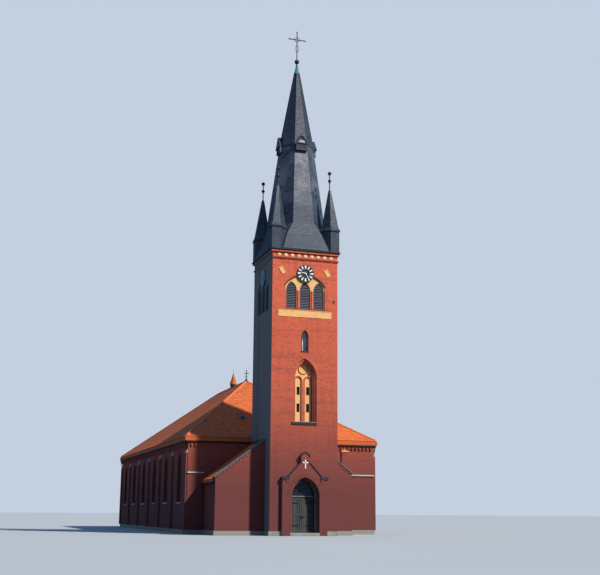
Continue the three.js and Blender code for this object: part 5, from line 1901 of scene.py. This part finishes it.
@dataclass
class NaveWalls(Assembly):
    """The nave's brick walls: string course, corbel table, flat buttress strips and windows."""

    half: float = 7.15
    front: float = TOWER_HALF
    back: float = 34.8
    arch: PointedArch = PointedArch(0.65, 4.7, 0.692)
    window_foot: float = 2.2
    window_plane: float = -6.565
    windows: tuple = (5.3503, 31.9, 6)

    def build(self) -> None:
        """Makes all the nave wall's pieces."""
        places = np.linspace(*self.windows)
        self._strings()
        self._strips(np.concatenate([[2.75], (places[1:] + places[:-1]) / 2, [34.5]]))
        for side, label in SIDES:
            self._windows(side, label, places)

    def _strings(self) -> None:
        """A light string course on the front wall beside the annexes, and a corbel table under the eave."""
        profile = [(-0.05, 0.0), (0.05, 0.0), (0.02, 0.07), (-0.05, 0.08)]
        spans = ((-self.half, -5.96), (3.98, self.half))
        strings = [moulding([(x0, 4.3), (x1, 4.3)], profile, self.front) for x0, x1 in spans]
        self.shop.piece("front_string_course", strings, "cut_stone")
        foot, head, top, reach, wide = 6.18, 6.36, 6.46, 0.11, 0.06
        y = np.arange(self.front + 0.3, self.back - 0.1, 0.3)
        corbels = []
        for side, _ in SIDES:
            x0, x1 = sorted((side * self.half, side * (self.half + reach)))
            corbels.append(cuboids(spots(x0, y - wide, foot), spots(x1, y + wide, head)))
            corbels.append(cuboids((x0, self.front, head), (x1, self.back, top), 0.5))
        every = np.arange(-6.9, 7.0, 0.3)
        for x, near, far in ((every[np.abs(every) > 2.62], self.front - reach, self.front),
                             (every, self.back, self.back + reach)):
            corbels.append(cuboids(spots(x - wide, near, foot), spots(x + wide, far, head)))
        self.shop.piece("nave_corbel_table", corbels, "moulded_brick")

    def _strips(self, places: np.ndarray) -> None:
        """Flat buttress strips with sloping stone heads, between the windows and at the corners.

        Args:
            places: Y of each strip's middle.
        """
        strips, heads = [], []
        wide, cap, foot, head = 0.26, 0.28, 0.3, 5.7
        for side, _ in SIDES:
            inner = side * self.half
            x0, x1 = sorted((inner, side * (self.half + 0.13)))
            strips.append(cuboids(spots(x0, places - wide, foot), spots(x1, places + wide, head)))
            corners = []
            for outer, z in ((side * (self.half + 0.15), head), (inner + side * 0.01, 6.0)):
                ends = ((inner, -cap), (outer, -cap), (outer, cap), (inner, cap))
                corners += [spots(x, places + shift, z) for x, shift in ends]
            heads.append(blocks(np.stack(corners, 1)))
        low = spots(np.array([-self.half, 6.55, -2.5, 1.9]), self.back, foot)
        strips.append(cuboids(low, low + [0.6, 0.12, 5.6], 0.5))
        self.shop.piece("nave_buttress_strips", strips, "wall_brick")
        self.shop.piece("nave_strip_heads", heads, "cut_stone")

    def _windows(self, side: int, label: str, places: np.ndarray) -> None:
        """Arch bricks, beads, sills and tracery bars of one side's windows, drawn on a wall facing -Y.

        Args:
            side: -1 for the left wall, 1 for the right.
            label: The side's name.
            places: Y of each window's middle.
        """
        rings, beads, sills, bars = [], [], [], []
        foot, wall, wide, inner = self.window_foot, -self.half, 0.72, 0.649
        nose = [(-0.08, 0.001), (0.0, 0.001), (-0.02, 0.09), (-0.08, 0.10)]
        for x in side * places:
            arch = replace(self.arch, centre=x)
            rings.append(arch_bricks(arch, 0.004, 0.24, 14, 0.012, wall))
            beads.append(moulding(arch.with_legs(foot + 0.06, 0.0, 10), bead(0.035, 0.0, -0.005), wall))
            sills.append(moulding([(x - wide, foot), (x + wide, foot)], nose, wall))
            sills.append(cuboids((x - inner, wall, foot), (x + inner, self.window_plane, foot + 0.05), 0.5))
            bars += self._tracery(arch)
        face = Face.RIGHT if side > 0 else Face.LEFT
        kinds = (("bricks", rings, "moulded_brick", None), ("beads", beads, "dark_brick", 50),
                 ("sills", sills, "cut_stone", None), ("tracery", bars, "cream_paint", None))
        for kind, shells, finish, smooth in kinds:
            self.shop.piece(f"nave_window_{kind}_{label}", joined(shells).facing(face), finish, smooth=smooth)

    def _tracery(self, arch: PointedArch) -> list[Shell]:
        """A frame, a mullion, two lights, a roundel and cross bars inside one window.

        Args:
            arch: The window's arch, on a wall facing -Y.

        Returns:
            The bars.
        """
        x, plane, foot = arch.centre, self.window_plane, self.window_foot + 0.05
        bar = rectangle(0.0, 0.05, 0.0, 0.07)
        parts = [moulding(arch.with_legs(foot, 0.0, 10), rectangle(-0.07, -0.001, 0.0, 0.09), plane),
                 cuboids((x - 0.03, plane - 0.08, foot), (x + 0.03, plane, 4.8), 0.5)]
        for shift in (-0.305, 0.305):
            parts.append(moulding(PointedArch(0.26, 4.45, 0.12, x + shift).curve(0.0, 6), bar, plane))
        parts.append(moulding(circle(x, 5.16, 0.2, 20), bar, plane, closed=True))
        half, thick = 0.6, 0.03
        low = spots(x - half, plane - thick, np.array([2.9, 3.6, 4.3]))
        return [*parts, cuboids(low, low + [2 * half, thick, thick], 0.5)]


@dataclass
class NaveRoof(Assembly):
    """The hipped tiled roof with ridge and hip tiles, gutters, vent, cross and ridge turret."""

    half: float = 7.4
    front: float = 2.3
    back: float = 35.05
    eave: float = 6.8
    ridge: float = 12.4
    ridge_front: float = 13.55
    ridge_back: float = 23.8
    tiles: Coursing = Coursing(0.245, 0.37, 0.028)
    vent: tuple = (-2.34, 5.6)
    turret: float = 18.05

    def build(self) -> None:
        """Makes all the roof's pieces."""
        self._slopes()
        self._ridges()
        self._gutters()
        self._vent()
        self._cross()
        self._ridge_turret()

    def _corners(self, share: float) -> dict[str, np.ndarray]:
        """The roof's corners, with the eave drawn up the slope by a share of its height.

        Args:
            share: Share of the slope by which the eave is drawn up.

        Returns:
            The corners by name.
        """
        found = {}
        for end, y, top in (("front", self.front, self.ridge_front), ("back", self.back, self.ridge_back)):
            found[f"top_{end}"] = np.array([0.0, top, self.ridge])
            for side, label in SIDES:
                foot = np.array([side * self.half, y, self.eave])
                found[f"{label}_{end}"] = foot + (found[f"top_{end}"] - foot) * share
        return found

    def _slopes(self) -> None:
        """Tiles on the four slopes; those of the front one leave out the tower and the vent."""
        at = self._corners(0.006)
        slopes = {
            "left": (("left_front", "left_back", "top_back", "top_front"), (-1, 0, 1)),
            "right": (("right_front", "right_back", "top_back", "top_front"), (1, 0, 1)),
            "back": (("left_back", "right_back", "top_back", "top_back"), (0, 1, 1)),
            "front": (("left_front", "right_front", "top_front", "top_front"), (0, -1, 1)),
        }
        for slope, (corners, outward) in slopes.items():
            tiles = self.tiles.lay([at[corner] for corner in corners], outward)
            if slope == "front":
                plates = tiles.points.reshape(-1, 8, 3)
                x, y, _ = plates.mean(1).T
                vent_half, vent_front, vent_back, tower_half, tower_back = 0.34, 5.5, 6.6, 2.55, 2.6
                vent = (np.abs(x - self.vent[0]) < vent_half) & (y > vent_front) & (y < vent_back)
                tower = (np.abs(x) < tower_half) & (y < tower_back)
                tiles = blocks(plates[~(tower | vent)])
            self.shop.piece(f"{slope}_slope_tiles", tiles, "clay_tile")

    def _ridges(self) -> None:
        """Half-round tiles: a bar whose radius steps from 85 to 105 mm at each tile's tail."""
        at = self._corners(0.004)
        ends = [(f"{label}_{end}", f"top_{end}") for end in ("front", "back") for _, label in SIDES]
        tile, first, lap, lift, tail, head = 0.36, 0.016, 0.02, 0.02, 0.105, 0.085
        caps = []
        for start, end in ((at[low], at[high]) for low, high in (*ends, ("top_front", "top_back"))):
            length = np.linalg.norm(end - start)
            count = int(length / tile)
            stops = np.repeat(np.linspace(first, 1.0, count + 1), 2)[1:-1]
            stops[2::2] += lap / length
            path = start + (end - start) * stops[:, None] + [0, 0, lift]
            caps.append(tube(path, np.tile([tail, head], count), 10, half=True))
        self.shop.piece("ridge_and_hip_tiles", caps, "ridge_tile", smooth=40)

    def _gutters(self) -> None:
        """Half-round gutters under the eave and downpipes at the corners."""
        z, gutter, pipe = self.eave - 0.31, 0.055, 0.045
        runs = []
        for side, _ in SIDES:
            x, wall = side * 7.325, side * 7.23
            runs.append(tube([(x, 2.45, z), (x, 18.0, z - 0.02), (x, 34.95, z - 0.03)], gutter))
            for y in (2.62, 34.6):
                runs.append(tube([(x, y, z), (x, y, z - 0.15), (wall, y, z - 0.5), (wall, y, 0.32)], pipe))
        for x0, x1, y in ((-7.3, -2.6, 2.37), (2.6, 7.3, 2.37), (-7.3, 7.3, 34.98)):
            runs.append(tube([(x0, y, z), ((x0 + x1) / 2, y, z), (x1, y, z)], gutter))
        self.shop.piece("nave_gutters", runs, "gutter_zinc", smooth=50)

    def _vent(self) -> None:
        """The small gabled roof vent: a pale frame and a dark screen."""
        x, y = self.vent
        surface = self.eave + (y - self.front) * (self.ridge - self.eave) / (self.ridge_front - self.front)
        foot, shoulder, peak = surface - 0.02, surface + 0.21, surface + 0.42
        frame_line, hole = ([(x - wide, foot), (x - wide, shoulder), (x, top), (x + wide, shoulder),
                             (x + wide, foot)] for wide, top in ((0.26, peak), (0.19, peak - 0.09)))
        frame_bar = rectangle(-0.07, 0.02, -0.01, 0.03)
        self.shop.piece("roof_vent_frame", moulding(frame_line, frame_bar, y), "light_zinc")
        self.shop.piece("roof_vent_screen", slab(hole, y, y - 0.012), "grey_slats")

    def _cross(self) -> None:
        """Scrolls and a lead shoe at the foot of the ridge cross."""
        y, z = self.ridge_front, self.ridge
        shoe = [(0.16, z - 0.02), (0.17, z + 0.06), (0.12, z + 0.12), (0.05, z + 0.26), (0.03, z + 0.28)]
        self.shop.piece("ridge_cross_shoe", lathe(shoe, 10, 0.0, y), "grey_lead", smooth=40)
        angle = np.linspace(0.0, 1.6 * math.pi, 14)
        reach, rise = 0.09 - 0.055 * np.cos(angle), 0.42 + 0.055 * np.sin(angle)
        scrolls = [tube(spots(side * reach, y, z + rise), 0.012, 6) for side, _ in SIDES]
        self.shop.piece("ridge_cross_scrolls", scrolls, "black_iron", smooth=50)

    def _ridge_turret(self) -> None:
        """The little red ridge turret: dark drum, tiled cone and spike collar."""
        y = self.turret
        drum = [(0.25, 12.40), (0.262, 12.40), (0.262, 12.60), (0.30, 12.63), (0.32, 12.655), (0.25, 12.66)]
        self.shop.piece("ridge_turret_drum", lathe(drum, 8, 0.0, y, 0.5), "gutter_zinc", "slate", smooth=20)
        bands = []
        for z in np.linspace(12.68, 13.5, 8):
            r = np.interp(z, [12.68, 13.56], [0.31, 0.04])
            band = [(r - 0.03, z), (r + 0.016, z), (r + 0.004, z + 0.11), (r - 0.05, z + 0.115)]
            bands.append(lathe(band, 8, 0.0, y, 0.5))
        self.shop.piece("ridge_turret_tiles", bands, "clay_tile")
        collar = lathe([(0.02, 13.52), (0.05, 13.53), (0.045, 13.60), (0.022, 13.64)], 10, 0.0, y)
        self.shop.piece("ridge_turret_collar", collar, "grey_lead", smooth=40)


@dataclass
class Viewpoint:
    """The camera at the photograph's place and angle."""

    location: tuple = (-22.096, -69.899, 1.595)
    yaw: float = 17.834
    pitch: float = 12.477
    roll: float = 0.4265
    lens: float = 60.855

    def build(self) -> None:
        """Sets the camera: a roll about its own axis, then tilted up from level, then turned to the right."""
        data = bpy.data.cameras.new("photo_camera")
        data.sensor_fit = "HORIZONTAL"
        data.sensor_width = 36.0
        data.lens = self.lens
        data.clip_end = 1000.0
        camera = placed("photo_camera", data)
        camera.matrix_world = Matrix.Translation(self.location)
        for angle, axis in ((-self.yaw, "Z"), (90.0 + self.pitch, "X"), (self.roll, "Z")):
            camera.matrix_world = camera.matrix_world @ Matrix.Rotation(math.radians(angle), 4, axis)
        bpy.context.scene.camera = camera


@dataclass
class Studio:
    """A plain pale floor, a soft key light from the right of the front and a cool even sky."""

    sun_from: tuple = (41.0, 42.0)
    sun_strength: float = 4.8
    sun_light: tuple = (1.0, 0.97, 0.90)
    sun_spread: float = 3.0
    sky_light: Colour = (0.30, 0.55, 1.0, 1.0)
    sky_strength: float = 0.42
    backdrop: Colour = srgb(196, 208, 224)
    reach: float = 600.0

    def build(self, ground: bpy.types.Material) -> None:
        """Adds the floor, one broad key light and even light all round.

        Args:
            ground: The floor's material.
        """
        mesh = bpy.data.meshes.new("studio_floor")
        corners = [(x * self.reach, y * self.reach, 0) for x, y in ((-1, -1), (1, -1), (1, 1), (-1, 1))]
        mesh.from_pydata(corners, [], [(0, 1, 2, 3)])
        mesh.materials.append(ground)
        floor = placed("studio_floor", mesh)
        light = bpy.data.lights.new("key_light", "SUN")
        light.energy = self.sun_strength
        light.angle = math.radians(self.sun_spread)
        light.color = self.sun_light
        azimuth, elevation = (math.radians(a) for a in self.sun_from)
        placed("key_light", light).rotation_euler = (math.pi / 2 - elevation, 0.0, azimuth)
        world = bpy.data.worlds.new("studio_world")
        world.use_nodes = True
        board = Board(world.node_tree)
        sky = world.node_tree.nodes["Background"]
        seen = board.add("ShaderNodeLightPath").outputs["Is Camera Ray"]
        board.feed(sky.inputs["Color"], board.mix(seen, self.sky_light, self.backdrop))
        board.feed(sky.inputs["Strength"], board.between(seen, self.sky_strength, 1.0))
        bpy.context.scene.world = world
        bpy.context.scene.view_settings.view_transform = "Standard"


def main() -> None:
    """Builds every sub-assembly in order and reports how many pieces were made."""
    logging.basicConfig(level=logging.INFO, format="%(message)s")
    Viewpoint().build()
    shop = Assembly.shop = Workshop(Palette())
    shop.dress()
    assemblies = [Shaft(), Portal(), *(DoorLeaf(*side) for side in SIDES), BlindNiche(), LancetWindow()]
    assemblies += [PlasterMarks(), *(Belfry(side) for side in Face)]
    assemblies += [ClockFace(side) for side in (Face.FRONT, Face.LEFT, Face.RIGHT)]
    assemblies += [Eaves(), Spire(), Lucarnes()]
    corners = {"front_left": (-1, -1), "front_right": (1, -1), "back_left": (-1, 1), "back_right": (1, 1)}
    assemblies += [Turret(f"turret_{name}", signs) for name, signs in corners.items()]
    assemblies += [Annex(-1, "left", width=3.5, ridge=6.50, drop=0.73)]
    assemblies += [Annex(1, "right", width=1.52, ridge=5.47, drop=0.765)]
    assemblies += [Chimney(), NaveWalls(), NaveRoof()]
    for assembly in assemblies:
        assembly.build()
    Studio().build(shop.palette.made["pale_floor"])
    LOG.info("%d pieces made", shop.count)


if __name__ == "__main__":
    main()
